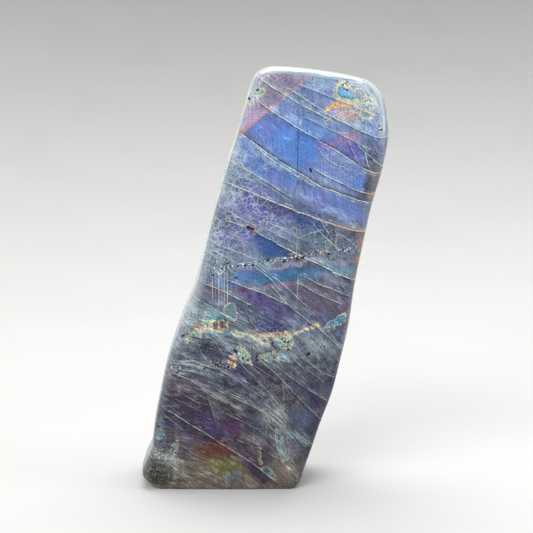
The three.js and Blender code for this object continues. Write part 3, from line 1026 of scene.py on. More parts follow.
FILMS = [
    (0.22, 0.27, 1.3, 0.55, [(334, 84), (333, 95), (336, 101), (344, 103), (354, 105), (366, 107),
        (376, 113), (377, 104), (371, 96), (361, 88), (350, 83), (341, 80)]),
    (0.18, 0.9, 2.6, 0.85, [(336, 89), (337, 84), (342, 82.5), (346, 86), (352, 87.5), (358, 91), (363, 95),
        (363, 101), (355, 102), (347, 101.5), (340, 100.5), (336, 96)]),
    (0.36, 0.4, 1.0, 0.5, [(352, 91.5), (358, 91), (363, 95), (364, 100), (357, 99.5), (353, 97)]),
    (0.22, 0.36, 1.4, 0.8, [(337, 100), (344, 99), (352, 100.5), (360, 100.5), (366, 99), (368, 103),
        (361, 106.5), (352, 106), (345, 104), (339, 103)]),
    (0.11, 0.2, 0.8, 0.95, [(325, 112), (327, 107), (331, 103), (336, 100), (343, 102), (350, 104.5),
        (357, 108), (349, 108.5), (342, 107), (337, 109), (333, 108.5), (329, 113)]),
    (0.14, 0.21, 1.0, 0.38, [(334, 117), (338, 113), (344, 108), (350, 107), (357, 108), (359, 118),
        (351, 119.5), (341, 119.5)]),
    (0.14, 0.6, 1.8, 0.9, [(359, 114), (360, 109.5), (366, 110), (372, 113), (375.5, 115.5), (374, 118.5),
        (368, 121), (362, 119.5)]),
    (0.3, 0.5, 0.8, 0.6, [(361, 108), (363, 104), (368, 103.5), (374, 107), (375, 111), (368, 110.5)]),
    (0.2, 0.25, 0.7, 0.45, [(323, 118), (327, 116), (331, 119), (331, 122), (327, 126), (324, 123)]),
    (0.16, 0.46, 0.9, 0.75, [(249, 96), (251, 91), (257, 88.5), (263, 87.5), (267, 91), (264, 95),
        (258, 97), (253, 98)]),
    (0.14, 0.22, 0.5, 0.75, [(245, 105), (249, 101.5), (253, 103), (250, 108)]),
    (0.34, 0.6, 0.8, 0.8, [(206, 308), (209, 307), (220, 311.5), (228, 316.5), (232, 320), (228, 323),
        (220, 320.5), (211, 321), (206.5, 319)]),
    (0.11, 0.54, 1.0, 0.6, [(223.5, 309), (224, 305), (228.5, 302.5), (233.5, 302.5), (236.5, 307),
        (237.5, 312.5), (237, 318.5), (235, 322), (231, 320.5), (230, 317), (225.5, 314)]),
    (0.28, 0.4, 0.5, 0.65, [(202.5, 316), (206, 313.5), (208, 319), (206.5, 326.5), (203, 328.5),
        (201.5, 322)]),
    (0.22, 0.3, 0.7, 0.8, [(207.5, 320), (214, 318.8), (219, 319.4), (224, 319.8), (228.5, 322), (229, 328),
        (226.5, 331), (221, 331.5), (214, 332), (208, 329)]),
    (0.3, 0.68, 0.7, 0.75, [(204.5, 334), (206.5, 327.5), (208.7, 330), (212, 332), (217, 333),
        (223, 331.5), (227, 327), (229.5, 329), (231.5, 332.5), (229, 335), (224, 336), (216, 335.5),
        (208.7, 337)]),
    (0.16, -0.3, 0.6, 1.0, [(212.2, 325), (213, 321.3), (215.2, 319.6), (217.6, 322), (217.6, 327),
        (215.6, 330.8), (213, 329)]),
    (0.16, -0.3, 0.6, 1.0, [(218.9, 325), (219.8, 321.8), (221.8, 320.4), (224.1, 322.5), (224.1, 327),
        (222, 330.2), (219.6, 328.5)]),
    (0.15, -0.1, 0.5, 0.9, [(224.8, 323.5), (226.2, 322.4), (227.2, 326), (225.6, 329.8), (224.6, 327)]),
    (0.26, 0.44, 0.7, 0.9, [(192, 333), (194, 329), (197, 327.5), (200, 329), (202.5, 333.5),
        (200.5, 337.5), (196, 336.5)]),
    (0.1, 0.15, 0.5, 0.7, [(192.5, 322.5), (196, 323), (201, 325.5), (206, 327.5), (206.5, 331.5),
        (202, 331.5), (196, 328)]),
    (0.18, 0.36, 0.6, 0.75, [(184.5, 341.5), (186, 336), (190.5, 332.5), (193.5, 335), (192, 340),
        (188, 343)]),
    (0.18, 0.36, 0.7, 0.75, [(229, 330), (235, 329.5), (239.5, 332), (245, 332.5), (246, 336.5), (239, 337),
        (233, 335)]),
    (0.14, 0.32, 0.9, 0.7, [(246, 332), (255, 334), (263, 338), (271.5, 341.5), (269, 346.5), (260, 343.5),
        (252, 338.5)]),
    (0.12, 0.26, 0.8, 0.75, [(251, 331), (260, 332.5), (273, 332), (285, 330), (290, 331.5), (291.5, 336),
        (279, 336), (266, 336.5), (257, 335)]),
    (0.2, 0.32, 0.8, 0.6, [(271, 336), (281, 334.5), (292, 335), (294, 342), (291.5, 348), (285, 345),
        (277, 341.5)]),
    (0.34, 0.7, 0.6, 0.9, [(273.5, 341), (279, 341), (283, 343.8), (288, 349), (281, 347), (275.5, 344.5)]),
    (0.18, 0.36, 0.8, 0.65, [(235.5, 346), (240.5, 343.5), (246.7, 347.5), (249.8, 353.5), (253, 366.5),
        (246.7, 363), (240.5, 359.5), (238, 352.5)]),
    (0.26, 0.48, 0.7, 0.85, [(240.5, 358), (245, 355), (249, 358), (247.5, 362), (242.5, 361.5)]),
    (0.12, 0.17, 0.7, 0.6, [(228.5, 357), (234, 354), (237, 360), (235.5, 368), (230.5, 367.5),
        (228, 362)]),
    (0.14, 0.22, 0.5, 0.5, [(196, 366), (204, 363), (210, 365), (204, 368.5)]),
    (0.15, 0.3, 1.0, 0.5, [(257, 356), (265, 353), (273, 350.5), (283, 351), (289.5, 357.5), (289, 361),
        (276, 361), (265, 361.5), (259, 360)]),
    (0.34, 0.86, 0.8, 0.95, [(266, 356.8), (267.8, 353), (271.2, 352.6), (273.5, 355.5), (271.8, 359),
        (268.3, 359.8)]),
    (0.32, 0.78, 0.7, 0.85, [(281.5, 351.5), (285.5, 352.5), (288.5, 357), (289.5, 362.5), (285, 360),
        (282, 356.5)]),
    (0.17, 0.88, 1.2, 0.9, [(324, 326), (328, 321.5), (334, 318.5), (337, 315.8), (344.5, 312), (346, 316),
        (346, 320.5), (344, 323), (338, 324.8), (332, 326.2), (327, 327.5)]),
    (0.15, 0.28, 0.6, 0.75, [(307, 328), (313, 324), (319, 323), (321, 326.5), (315, 328.5), (310, 329)]),
    (0.13, 0.24, 0.6, 0.65, [(290, 333), (297, 330.5), (304, 327.5), (309, 326), (310, 329), (301, 332),
        (292, 336)]),
    (0.22, 0.38, 0.7, 0.45, [(320, 328), (327, 326.5), (335, 326), (336, 329), (330, 331.5), (323, 331)]),
    (0.42, 0.54, 1.2, 0.6, [(157, 438), (157.5, 432), (160, 429), (163.5, 429), (165.5, 432), (164, 436),
        (161.5, 440), (158.5, 440)]),
    (0.17, 0.28, 0.6, 0.45, [(170.5, 453), (171, 446), (174, 440), (179, 440), (180, 445), (178, 450),
        (176, 455), (172, 456)]),
    (0.34, 0.62, 0.7, 0.9, [(173, 451.5), (173.8, 447), (175.5, 442.5), (178, 442.5), (178.2, 445.5),
        (176.6, 449), (175, 452.5), (173.6, 453)]),
    (0.14, 0.36, 0.7, 0.5, [(257.5, 450), (259, 446), (261.5, 447), (261.5, 457), (262.5, 464),
        (259.5, 464), (257.5, 457)]),
    (0.22, 0.5, 0.9, 0.5, [(261, 468.5), (264, 465.5), (268.5, 465.5), (272, 470), (275.5, 475),
        (278.5, 480), (273, 479), (267, 475), (262.5, 472.5)]),
    (0.32, 0.6, 0.8, 0.7, [(274, 428.5), (280.6, 430), (281, 436), (284.5, 441), (285.5, 447.5), (289, 453),
        (288, 460), (284, 461.5), (279.5, 456), (277.5, 449.5), (275.6, 443), (275.3, 436)]),
    (0.5, 0.7, 0.6, 0.55, [(286, 431), (291, 430), (295, 434), (294, 438.5), (288, 438)]),
    (0.34, 0.74, 0.8, 0.65, [(293, 431), (297, 432.5), (300, 436), (305, 441), (309, 439), (311, 442),
        (304, 446), (298, 440.5), (294, 436.5)]),
    (0.4, 0.66, 0.6, 0.5, [(303, 433), (307, 432.5), (309.5, 437), (307, 439), (303.5, 437)]),
    (0.15, 0.24, 0.6, 0.6, [(280.5, 461), (285, 464), (290.5, 470), (289.5, 472), (284, 467.5)]),
    (0.4, 0.66, 0.6, 0.55, [(288.5, 463), (292, 465), (295, 469.5), (294, 472.5), (290, 468.5)]),
]
print("films:", len(FILMS))


# %% [markdown]
# A film's colour depends on how far inside its outline a point is. The outlines are straight between
# their points, so clouds tear them first. As with the lines, the mesh only holds soft values, and the
# shader cuts the sharp edge from them.

# %% What film lies on each surface point
FILM_EDGE_MM = 0.9  # a film fades out from this far inside its outline to as far outside
FILM_MARGIN_MM = 2.0  # its colours go on this far outside, so that the soft edge has its own colour
FILM_BLEND_MM = 0.3  # half the width over which the colours of two films run into each other
BACK_FILM_SHIFT_MM = (14, -26)  # on the back the films lie elsewhere


def inside_by(u, v, outline):
    """How far inside a closed outline each point is, in mm, or minus how far outside."""
    corners = np.stack(on_face(*np.array(outline, float).T), axis=1)
    away, inside = np.full(len(u), np.inf), np.zeros(len(u), bool)
    for (from_u, from_v), (to_u, to_v) in zip(np.roll(corners, 1, axis=0), corners):
        run_u, run_v = to_u - from_u, to_v - from_v
        share = ((u - from_u) * run_u + (v - from_v) * run_v) / (run_u**2 + run_v**2)
        share = np.clip(share, 0, 1)
        away = np.minimum(away, np.hypot(u - from_u - share * run_u, v - from_v - share * run_v))
        beside = (from_v > v) != (to_v > v)
        inside ^= beside & ((u - from_u) * run_v < (v - from_v) * run_u) ^ (beside & (run_v < 0))
    return np.where(inside, away, -away)


torn_u = shifted(face_u + BACK_FILM_SHIFT_MM[0] * back_share, (0.6, 3.6, 8), (0.5, 1.4, 9, 2))
torn_v = shifted(face_v + BACK_FILM_SHIFT_MM[1] * back_share, (0.6, 3.4, 10), (0.5, 1.3, 11, 2))
film_share, film_depth, film_cover = np.zeros((3, len(points)))
for film in (Film(*row) for row in FILMS):
    inside = inside_by(torn_u, torn_v, film.outline)
    depth = film.rim + (film.middle - film.rim) * ramp(0, film.reach, inside)
    over = ramp(-FILM_BLEND_MM, FILM_BLEND_MM, inside)
    over = np.where((film_share == 0) & (inside > -FILM_MARGIN_MM), 1, over)
    film_depth += (depth - film_depth) * over
    film_cover += (film.cover - film_cover) * over
    film_share = np.maximum(film_share, np.clip((inside / FILM_EDGE_MM + 1) / 2, 0, 1))
film_share *= 1 - 0.5 * side_share
print("points under a film:", int((film_share > 0.5).sum()))


# %% [markdown]
# ## Haze, crack web, rust and pits
# Milky haze lies over whole areas, where many tiny cracks scatter the light. It joins the veil that
# already hangs beside the lines. All these fields are made alike, from soft ellipses.

# %% Haze
def field_of(places, u, v, softness):
    """The strongest of several soft ellipses, point by point."""
    total = np.zeros(len(u))
    for middle, half, turn, amount in places:
        total = np.maximum(total, amount * patch(u, v, middle, half, turn, softness))
    return total


HAZE = [
    ((275.5, 108.5), (7, 3), 30, 1.0),
    ((291, 118), (9, 4), 36, 0.7),
    ((297, 122), (3, 4), 0, 0.8),
    ((288, 96), (16, 3), 30, 0.5),
    ((266, 76), (12, 5), 10, 0.5),
    ((252, 96), (8, 14), -16, 0.35),
    ((257, 100), (6, 2.6), 10, 1.0),
    ((332, 122), (11, 7), 20, 0.55),
    ((365, 127), (18, 6), 20, 0.6),
    ((352, 86), (16, 8), 16, 0.75),
    ((353, 86), (13, 5), 18, 1.0),
    ((246, 266), (12, 5), -6, 0.5),
    ((376, 98), (12, 26), -22, 0.85),
    ((378, 120), (10, 9), 0, 0.6),
    ((276, 164), (36, 3.5), 28, 0.6),
    ((334, 192), (32, 3.5), 21, 0.4),
    ((322, 181), (26, 8), 20, 0.5),
    ((306, 196), (18, 8), 24, 0.6),
    ((236, 158), (9, 18), -16, 0.7),
    ((228, 192), (9, 20), -14, 0.7),
    ((255, 176), (20, 5), 26, 0.4),
    ((335, 213), (28, 6), 20, 0.4),
    ((352, 224), (9, 5), 12, 0.6),
    ((283, 235), (16, 8), 28, 0.35),
    ((208, 244), (4, 24), -14, 0.4),
    ((222, 249), (12, 4), 20, 0.3),
    ((228, 262), (16, 6), -12, 0.4),
    ((250, 258), (14, 6), 14, 0.5),
    ((276, 262), (26, 4), -10, 0.45),
    ((306, 262), (14, 5), 10, 0.35),
    ((322, 257), (24, 5), 0, 0.5),
    ((206, 314), (18, 12), 10, 0.45),
    ((205, 332), (22, 9), 0, 0.45),
    ((188, 322), (8, 26), -16, 0.6),
    ((308, 309), (22, 3.5), 27, 0.45),
    ((296, 322), (12, 10), 34, 0.3),
    ((258, 342), (30, 9), 14, 0.6),
    ((282, 352), (14, 10), 20, 0.5),
    ((245, 352), (10, 8), 20, 0.4),
    ((232, 346), (22, 6), 20, 0.5),
    ((318, 344), (16, 8), 30, 0.35),
    ((291, 337), (9, 8), 20, 0.55),
    ((178, 354), (10, 6), 24, 0.5),
    ((198, 368), (28, 7), 10, 0.6),
    ((196, 384), (12, 5), 26, 0.35),
    ((236, 382), (24, 3), 36, 0.25),
    ((275, 421), (11, 17), -12, 0.9),
    ((257, 439), (13, 6), 20, 0.55),
    ((296, 434), (14, 6), 20, 0.35),
    ((281, 450), (10, 18), -20, 0.5),
    ((165, 456), (16, 5), 26, 0.5),
    ((174, 470), (14, 7), 30, 0.7),
]
veil = np.maximum(veil, field_of(HAZE, bent_u, bent_v, 0.8))
print("haze places:", len(HAZE), "mean:", veil.mean().round(2))


# %% [markdown]
# The web of hairline cracks is dense at the left and between the lines of the upper half. Only its
# density is made here, and the shader draws the web. The sides and the back have some of it everywhere.

# %% Crack web
WEB = [
    ((236, 170), (14, 34), -16, 1.0),
    ((262, 160), (22, 16), 28, 0.6),
    ((245, 200), (32, 18), 20, 0.9),
    ((228, 232), (26, 22), 0, 1.0),
    ((266, 216), (26, 14), 20, 0.8),
    ((374, 160), (14, 18), 0, 0.5),
    ((330, 238), (34, 14), 20, 0.5),
    ((345, 165), (26, 14), 26, 0.5),
    ((330, 210), (34, 8), 20, 0.3),
    ((215, 262), (22, 16), 0, 0.8),
    ((290, 345), (60, 26), 20, 0.3),
    ((240, 300), (50, 24), 10, 0.15),
    ((272, 400), (30, 30), 30, 0.25),
    ((290, 450), (18, 30), 0, 0.2),
    ((165, 446), (14, 20), 10, 0.25),
    ((364, 110), (24, 28), 0, 0.6),
    ((300, 95), (50, 26), 20, 0.4),
]
LEAST_WEB, OFF_FACE_WEB = 0.06, 0.3
web = np.maximum(field_of(WEB, bent_u, bent_v, 0.8), LEAST_WEB + OFF_FACE_WEB * off_face)
print("web places:", len(WEB), "mean:", web.mean().round(2))


# %% [markdown]
# Iron has stained some cracks orange, most of all where they come out at the right edge.

# %% Rust
RUST = [
    ((388, 134), (2.5, 9), 0, 1.0),
    ((378, 190), (3, 26), -14, 0.6),
    ((362, 250), (3, 26), -12, 0.7),
    ((385, 152), (4, 2), 0, 0.8),
    ((379, 175), (4, 2), 10, 0.9),
    ((370, 197), (7, 2), 14, 0.8),
    ((352, 191), (10, 2), 22, 0.6),
    ((336, 225), (30, 3), 20, 0.55),
    ((359, 226), (2.5, 7), 0, 0.8),
    ((357, 260), (3, 5), 0, 1.0),
    ((353, 275), (3.5, 6), 0, 1.0),
    ((297, 257), (4, 2), 0, 0.9),
    ((321, 252), (4, 2), 0, 0.9),
    ((199, 327), (8, 1.6), 20, 1.0),
    ((322, 184), (18, 2.5), 22, 0.5),
    ((317.5, 409.5), (4, 1.2), 36, 1.0),
    ((255, 230), (3.5, 2.5), 30, 0.9),
    ((247, 226), (2.5, 1.6), 20, 0.9),
    ((304, 82), (9, 1.8), -42, 0.75),
    ((288, 93), (9, 1.4), -36, 0.5),
    ((268, 110), (8, 1.4), -38, 0.55),
    ((254, 122), (11, 1.5), -38, 0.8),
    ((241, 134), (6, 1.5), -42, 0.9),
    ((273, 77.5), (4, 2.5), 20, 0.7),
    ((262, 333), (16, 1.4), 4, 0.7),
    ((352, 245), (3, 10), 0, 0.3),
    ((345, 330), (2.5, 14), 0, 0.35),
]
rust = field_of(RUST, wander_u, wander_v, 0.7)
print("rust places:", len(RUST), "mean:", rust.mean().round(3))


# %% [markdown]
# A row of bright and dark grains crosses the middle of the face, and there are more of them beside the
# films. They stay on the face and the back, so they don't smear over the sides.

# %% Grains
GRAINS = [
    ((218, 269), (12, 2.4), -8, 0.8),
    ((240, 265), (16, 2.4), -6, 0.9),
    ((268, 262), (14, 2.2), -8, 0.9),
    ((292, 257), (15, 2.8), -8, 1.0),
    ((318, 252), (14, 2.4), -3, 0.9),
    ((348, 250), (13, 2.4), 0, 0.9),
    ((352, 85), (12, 4), 20, 0.7),
    ((368, 104), (6, 6), 0, 0.8),
    ((347, 89), (4, 3), 0, 0.8),
    ((242, 354), (8, 8), 0, 0.5),
    ((284, 342), (8, 7), 24, 0.7),
    ((262, 338), (10, 3), 30, 0.5),
    ((218, 364), (12, 4), 6, 0.5),
    ((188, 339), (6, 4), -20, 0.6),
    ((381, 130), (5, 6), 0, 0.85),
    ((176, 369), (8, 7), 0, 0.6),
    ((324, 344), (6, 4), 10, 0.6),
    ((164, 456), (16, 6), 24, 0.4),
    ((160, 474), (18, 12), 10, 0.14),
    ((292, 440), (14, 8), 30, 0.15),
    ((259, 97), (9, 3), 0, 0.4),
    ((295, 478), (10, 8), 0, 0.2),
]
grains = field_of(GRAINS, wander_u, wander_v, 0.5) * (1 - side_share)
print("grain places:", len(GRAINS), "mean:", grains.mean().round(3))


# %% [markdown]
# The rounded edges read paler than the face. Partly this is the stone's own: light passes through thin
# stone there, and polish dust stays in the fine cracks. Partly it is painted sheen, where the polished
# edges catch the lamps, stronger on the left edge than the right. The edge field comes from the mesh
# itself, from how far a point is from the flat of the broad face, and from how near it is to the top.

# %% Pale edges, partly painted sheen
EDGE_FADE_MM = 1.6
RIGHT_EDGE_SHARE = 0.45  # the right edge is less pale than the left one
CALM_EDGE_MM = (46, 84)  # the side edges are only faintly pale below here
TOP_MM = 209.5
TOP_BENDS_FROM_MM, TOP_BEND = 22, 0.0009
TOP_FALLS_FROM_MM, TOP_FALL = 30, 0.06
STREAKS = [
    ((220, 288), (17, 15), 0, 1.0),
    ((206, 284), (6, 10), 0, 0.4),
]
MILKY_SHOULDER_SHEEN = [
    ((379, 98), (6, 24), -24, 0.95),
    ((366, 85), (22, 5.5), 26, 0.95),
    ((384, 124), (3.5, 16), 0, 0.8),
]
per_ring = rings.shape[1]
ring_number = np.arange(len(points)) // per_ring
ring_x = x.reshape(len(rings), per_ring)
from_left, from_right = x - ring_x.min(1)[ring_number], ring_x.max(1)[ring_number] - x
round_left, round_right = rib_values((ring_number - len(foot)) / (ROWS - 1))[:, 6:8].T
# Pale stone and painted sheen along the side edges, less of it on the right edge
left_edge = 1 - ramp(0.3 * round_left, round_left + EDGE_FADE_MM, from_left)
right_edge = RIGHT_EDGE_SHARE * (1 - ramp(0.3 * round_right, round_right + 0.5 * EDGE_FADE_MM, from_right))
past_bend, past_fall = np.maximum(x - TOP_BENDS_FROM_MM, 0), np.maximum(x - TOP_FALLS_FROM_MM, 0)
below_top = TOP_MM - TOP_BEND * past_bend**2 - TOP_FALL * past_fall - z
facing = 1 - ramp(0.3, 0.7, behind)
flat_top = ramp(0.22, 0.3, behind)
# The top edge and the right shoulder: milky stone with painted sheen and glints
top_edge = ramp(4.2, 3.0, below_top) * (1 - 0.65 * flat_top) * (1 - ramp(0.5, 0.8, behind))
top_edge = np.maximum(top_edge, field_of(MILKY_SHOULDER_SHEEN, face_u, face_v, 0.7))
side_edge = np.maximum(left_edge, right_edge) * facing * (0.25 + 0.75 * ramp(*CALM_EDGE_MM, face_v))
streaks = field_of(STREAKS, bent_u, bent_v, 0.6)
edge = np.stack([side_edge, top_edge, streaks], axis=1)
from_rim = np.minimum(np.minimum(from_left, from_right), 1.2 * below_top) + flat_top
rim = np.stack([from_rim, behind * DEPTH_MM, z - x], axis=1)
print("mean of side edge, top edge and streaks:", edge.mean(0).round(3))


# %% [markdown]
# Pits are holes that the polish has torn out. They are real hollows in the mesh, so they catch the
# light, and the shader also paints shade into them. Most are round, and a few are slits along the planes.

# %% Pits
PITS = [  # pixel across, pixel down, radius in pixels
    (257.5, 90, 1.2), (249.3, 99.3, 1.8), (347, 90, 1.1), (343, 85, 0.9), (308, 354, 1.4),
    (309.5, 353, 1), (325, 346, 1), (243, 358, 1.2), (248, 359.5, 1.2), (257, 356, 1.2),
    (257, 360, 1.1), (272.5, 342.5, 1.2), (282, 339, 1), (284.5, 341.5, 1.1), (288, 342, 1.2),
    (288, 349.5, 1.2), (228.5, 366.5, 1.3), (217.5, 364, 1.1), (204.5, 368, 1.2), (177, 368, 1),
    (173, 365, 1), (176, 373, 1), (183.5, 336, 1.1), (190, 339, 1), (268, 260, 1.4), (253, 265, 1.2),
    (245.5, 265.5, 1.2), (238, 266, 1.1), (228, 263, 1), (213, 275, 1.1), (236, 277.5, 1),
    (284, 261, 1.2), (297, 258, 1.2), (303, 257, 1.2), (316, 253, 1), (329, 253.5, 1.2), (343, 250, 1),
    (356, 252, 1), (159, 427, 1), (228, 456, 1), (380.6, 130.4, 0.9), (382.2, 133.1, 0.9),
    (386, 128.5, 0.8),
]
SLITS = [  # middle, half its width and height, turn
    ((310.7, 170), (1.0, 2.7), -20),
    ((248.6, 227.2), (2.6, 1.2), 22),
    ((252.6, 229), (1.8, 1.3), 26),
    ((235.4, 350.8), (2.7, 1.2), 50),
]
PIT_DEPTH_MM, SLIT_SOFTNESS = 0.45, 0.4
PIT_DEPTH_SHARE = 0.2  # a pit ends a few millimetres behind the face, instead of running over the side
pit = np.zeros(len(points))
for pit_x, pit_y, radius in PITS:
    middle_u, middle_v = on_face(pit_x, pit_y)
    away = np.hypot(np.hypot(face_u - middle_u, face_v - middle_v), PIT_DEPTH_SHARE * behind * DEPTH_MM)
    away /= radius * MM_PER_PX
    pit = np.maximum(pit, 1 - ramp(0.5, 1.5, away))
for slit in SLITS:
    pit = np.maximum(pit, patch(face_u, face_v, *slit, SLIT_SOFTNESS))
pit *= facing
points[:, 1] += PIT_DEPTH_MM * pit
print("pits:", len(PITS), "slits:", len(SLITS), "deepest:", (PIT_DEPTH_MM * pit).max().round(2), "mm")


# %% [markdown]
# ## The fine mesh
# The slices are joined into one closed skin of four-sided faces, with a fan on the sole and on the
# crown. Every field becomes a named attribute of the mesh. Distances to the lines stay as distances:
# the shader turns them into lines, which then stay sharp however coarse the mesh is.

# %% Join the slices
def closed_skin(name, rows, per_row, places):
    """A closed mesh over rows of points, with one extra point in the middle of each end."""
    low, around = np.meshgrid(np.arange(rows - 1) * per_row, np.arange(per_row), indexing="ij")
    step = (around + 1) % per_row
    high = low + per_row
    quads = np.stack([low + around, low + step, high + step, high + around], -1).reshape(-1, 4)
    last = (rows - 1) * per_row
    sole, tip = rows * per_row, rows * per_row + 1
    turn = np.arange(per_row)
    onward = (turn + 1) % per_row
    fans = [(sole, b, a) for a, b in zip(turn, onward)]
    fans += [(tip, last + a, last + b) for a, b in zip(turn, onward)]
    mesh = bpy.data.meshes.new(name)
    mesh.from_pydata(places.tolist(), [], quads.tolist() + [tuple(map(int, f)) for f in fans])
    mesh.shade_smooth()
    for face in mesh.polygons[len(quads):len(quads) + per_row]:
        face.use_smooth = False  # the sole is flat
    return mesh


ends = np.array([points[:per_ring].mean(0), points[-per_ring:].mean(0)])
skin = closed_skin("polished_stone", len(rings), per_ring, np.vstack([points, ends]) * METRES)
stone = bpy.data.objects.new("polished_stone", skin)
bpy.context.scene.collection.objects.link(stone)
print("stone mesh:", sum(len(f.vertices) - 2 for f in skin.polygons), "triangles")


# %% Give the mesh its fields
def with_ends(values):
    """Adds the two end points, each with the mean of its ring."""
    return np.concatenate([values, [values[:per_ring].mean(0)], [values[-per_ring:].mean(0)]])


def carry(name, values):
    values = with_ends(values)
    if values.ndim == 1:
        skin.attributes.new(name, "FLOAT", "POINT").data.foreach_set("value", values)
    else:
        skin.attributes.new(name, "FLOAT_VECTOR", "POINT").data.foreach_set("vector", values.ravel())


carry("place", np.stack([face_u, behind * DEPTH_MM, face_v], axis=1))
carry("flow", flow)
carry("rim", rim)
carry("flash", flash)
carry("line_distance", line_distance)
carry("line_strength", line_strength)
carry("film", np.stack([film_share, film_depth, film_cover], axis=1))
carry("web", web)
carry("haze", veil)
carry("stains", np.stack([rust, grains, pit], axis=1))
carry("edge", edge)
print("attributes:", [a.name for a in skin.attributes if not a.name.startswith(".")])


# %% [markdown]
# ## The finish
# The material is built up as the stone is: first the flash in the depth, broken by fine upright
# striations, then films and haze, then the cracks, and last what sits on the surface. Polished
# feldspar is a clear, slightly soft gloss, so roughness is low and only the cracks and pits are dull.
# It starts with four helpers. One scales coordinates, one makes noise, one cuts hairlines from noise,
# and one joins masks.

# %% Helpers for noise and masks
polish = Recipe("labradorite_polish")
place = polish.field("place", out="Vector")
flow = polish.field("flow", out="Vector")


def scaled(vector, size_mm, longer):
    """Coordinates that bring a texture out at size_mm, times longer along each coordinate."""
    return polish.vector("MULTIPLY", vector, tuple(1 / (size_mm * side) for side in longer))


def grain(size_mm, detail, roughness=0.55, longer=(1.0, 1.0, 1.0), on=place, distortion=0.0):
    """Noise from about -1 to 1."""
    noise = polish.node(
        "ShaderNodeTexNoise", {}, Vector=scaled(on, size_mm, longer), Scale=1.0, Detail=detail,
        Roughness=roughness, Distortion=distortion, out="Fac",
    )
    return noise * 2 - 1


def hairlines(noise, width):
    """1 on the lines where a noise changes sign, thinner with a smaller width."""
    return noise.size().rise(width, 0.0)


def strongest(masks):
    """The largest of several masks, point by point."""
    return reduce(Wire.or_more, masks)


# %% [markdown]
# A few noises do all the breaking up. Laid on the flow they follow the planes, and laid on the place
# they stand upright. Their amounts often differ between the dusky lower half and the bright upper half.

# %% Heights and noises
LOWER_HALF_TO_MM, UPPER_HALF_FROM_MM = 60.0, 120.0
FOOT_TO_MM, ABOVE_FOOT_MM = 30.0, 70.0
LOW_RIGHT_MM = (5.0, 30.0)
height = polish.parts(place)[2]
upper_share = height.rise(LOWER_HALF_TO_MM, UPPER_HALF_FROM_MM)
above_foot = height.rise(FOOT_TO_MM, ABOVE_FOOT_MM)
low_right = polish.parts(flow)[0].rise(*LOW_RIGHT_MM) * (1 - upper_share)


def by_height(low, high):
    """An amount that is low in the lower half and high in the upper half."""
    return low + upper_share * (high - low)


upright = grain(1.0, 3.0, longer=(0.9, 4, 18))
upright_fine = grain(0.5, 2.0, 0.7, longer=(1, 4, 20))
mottled = grain(7, 5.0, 0.6, distortion=0.5)
fine_mottled = grain(0.5, 2.0, 0.7)
shingles = grain(1.5, 4.0, 0.7, longer=(10, 4, 1), on=flow)
print("noises:", len(polish.tree.nodes), "nodes so far")


# %% [markdown]
# The flash is one colour per point, and a single tone makes it lighter or darker. The noises are
# summed into that tone, so they change how bright the flash is, and never its hue.

# %% Tone of the flash
WEB_DIMS = 0.25  # the crack web takes light from the flash under it
web_share = polish.field("web")
tone = by_height(1, 1.09) - web_share * WEB_DIMS
tone = tone + (upright + upright_fine) * by_height(0.18, 0.4)
tone = tone + mottled * by_height(0.5, 0.2) + fine_mottled * by_height(2.2, 1.6)
tone = tone + shingles * (by_height(1.4, -0.3) + above_foot * 0.7 - low_right * 0.8)
stone_colour = polish.vector("SCALE", polish.field("flash", out="Vector"), tone)
print("flash:", len(polish.tree.nodes), "nodes so far")


# %% [markdown]
# The films are coloured by one ramp, which holds the order of their colours. Thin pale haze covers
# both. Each is a Mix with a mask, which keeps the layers in the order they have in the stone.

# %% Films and haze
FILM_STOPS = [
    (0.0, paint(84, 76, 100)),
    (0.10, paint(152, 87, 70)),
    (0.18, paint(210, 145, 98)),
    (0.28, paint(214, 202, 158)),
    (0.38, paint(160, 194, 168)),
    (0.50, paint(114, 152, 148)),
    (0.64, paint(82, 130, 142)),
    (0.80, paint(64, 136, 182)),
    (1.0, paint(90, 182, 226)),
]
film_share, film_depth, film_amount = polish.parts(polish.field("film", out="Vector"))
film_ripple = grain(2.0, 4.0, 0.65, distortion=1.0)
ragged = grain(1.1, 2.0, 0.7)
film_depth = film_depth + (film_ripple + ragged) * 0.15 + fine_mottled * 0.25 + shingles * by_height(0.4, 0.1)
film_tone = by_height(0.66, 0.92) + film_ripple * 0.6 + fine_mottled * 1.4 + shingles * by_height(1.6, 0.6)
film_colour = polish.node("ShaderNodeValToRGB", {"stops": FILM_STOPS}, film_depth, out="Color")
film_shape = (film_share + (ragged + fine_mottled) * 0.25).rise(0.4, 0.6)
film_specks = film_amount + film_ripple * 0.8 + (ragged + fine_mottled) * 0.5 + shingles * 0.4
film_cover = film_shape * film_specks.rise(0.2, 1.0)
stone_colour = polish.mix(film_cover, stone_colour, polish.vector("SCALE", film_colour, film_tone))

HAZE_COLOUR, LOW_HAZE_COLOUR = paint(160, 179, 180), paint(158, 158, 150)
HAZE_COVER = 0.36  # how much it hides on average; the noises break this up
haze = polish.field("haze")
haze_colour = polish.mix(height.rise(20.0, 60.0), LOW_HAZE_COLOUR, HAZE_COLOUR)
haze_grain = shingles * by_height(1.9, 0.9) + mottled * 0.6 + upright * 0.4 + fine_mottled * 0.9
haze_cover = (haze * (HAZE_COVER + haze_grain)).or_more(0.0)
stone_colour = polish.mix(haze_cover, stone_colour, haze_colour)
print("films and haze:", len(polish.tree.nodes), "nodes so far")


# %% [markdown]
# A cleavage crack in clear stone is a mirror-thin gap. It shows as a bright hairline, with a dark one
# on the side where the stone above it blocks the light. Both are cut from the distance field, so each
# line keeps its own width. Noise along them makes them fade and return, as real cracks do. Where they
# are strongest a second bright line runs beside them, and small steps keep them from being smooth.

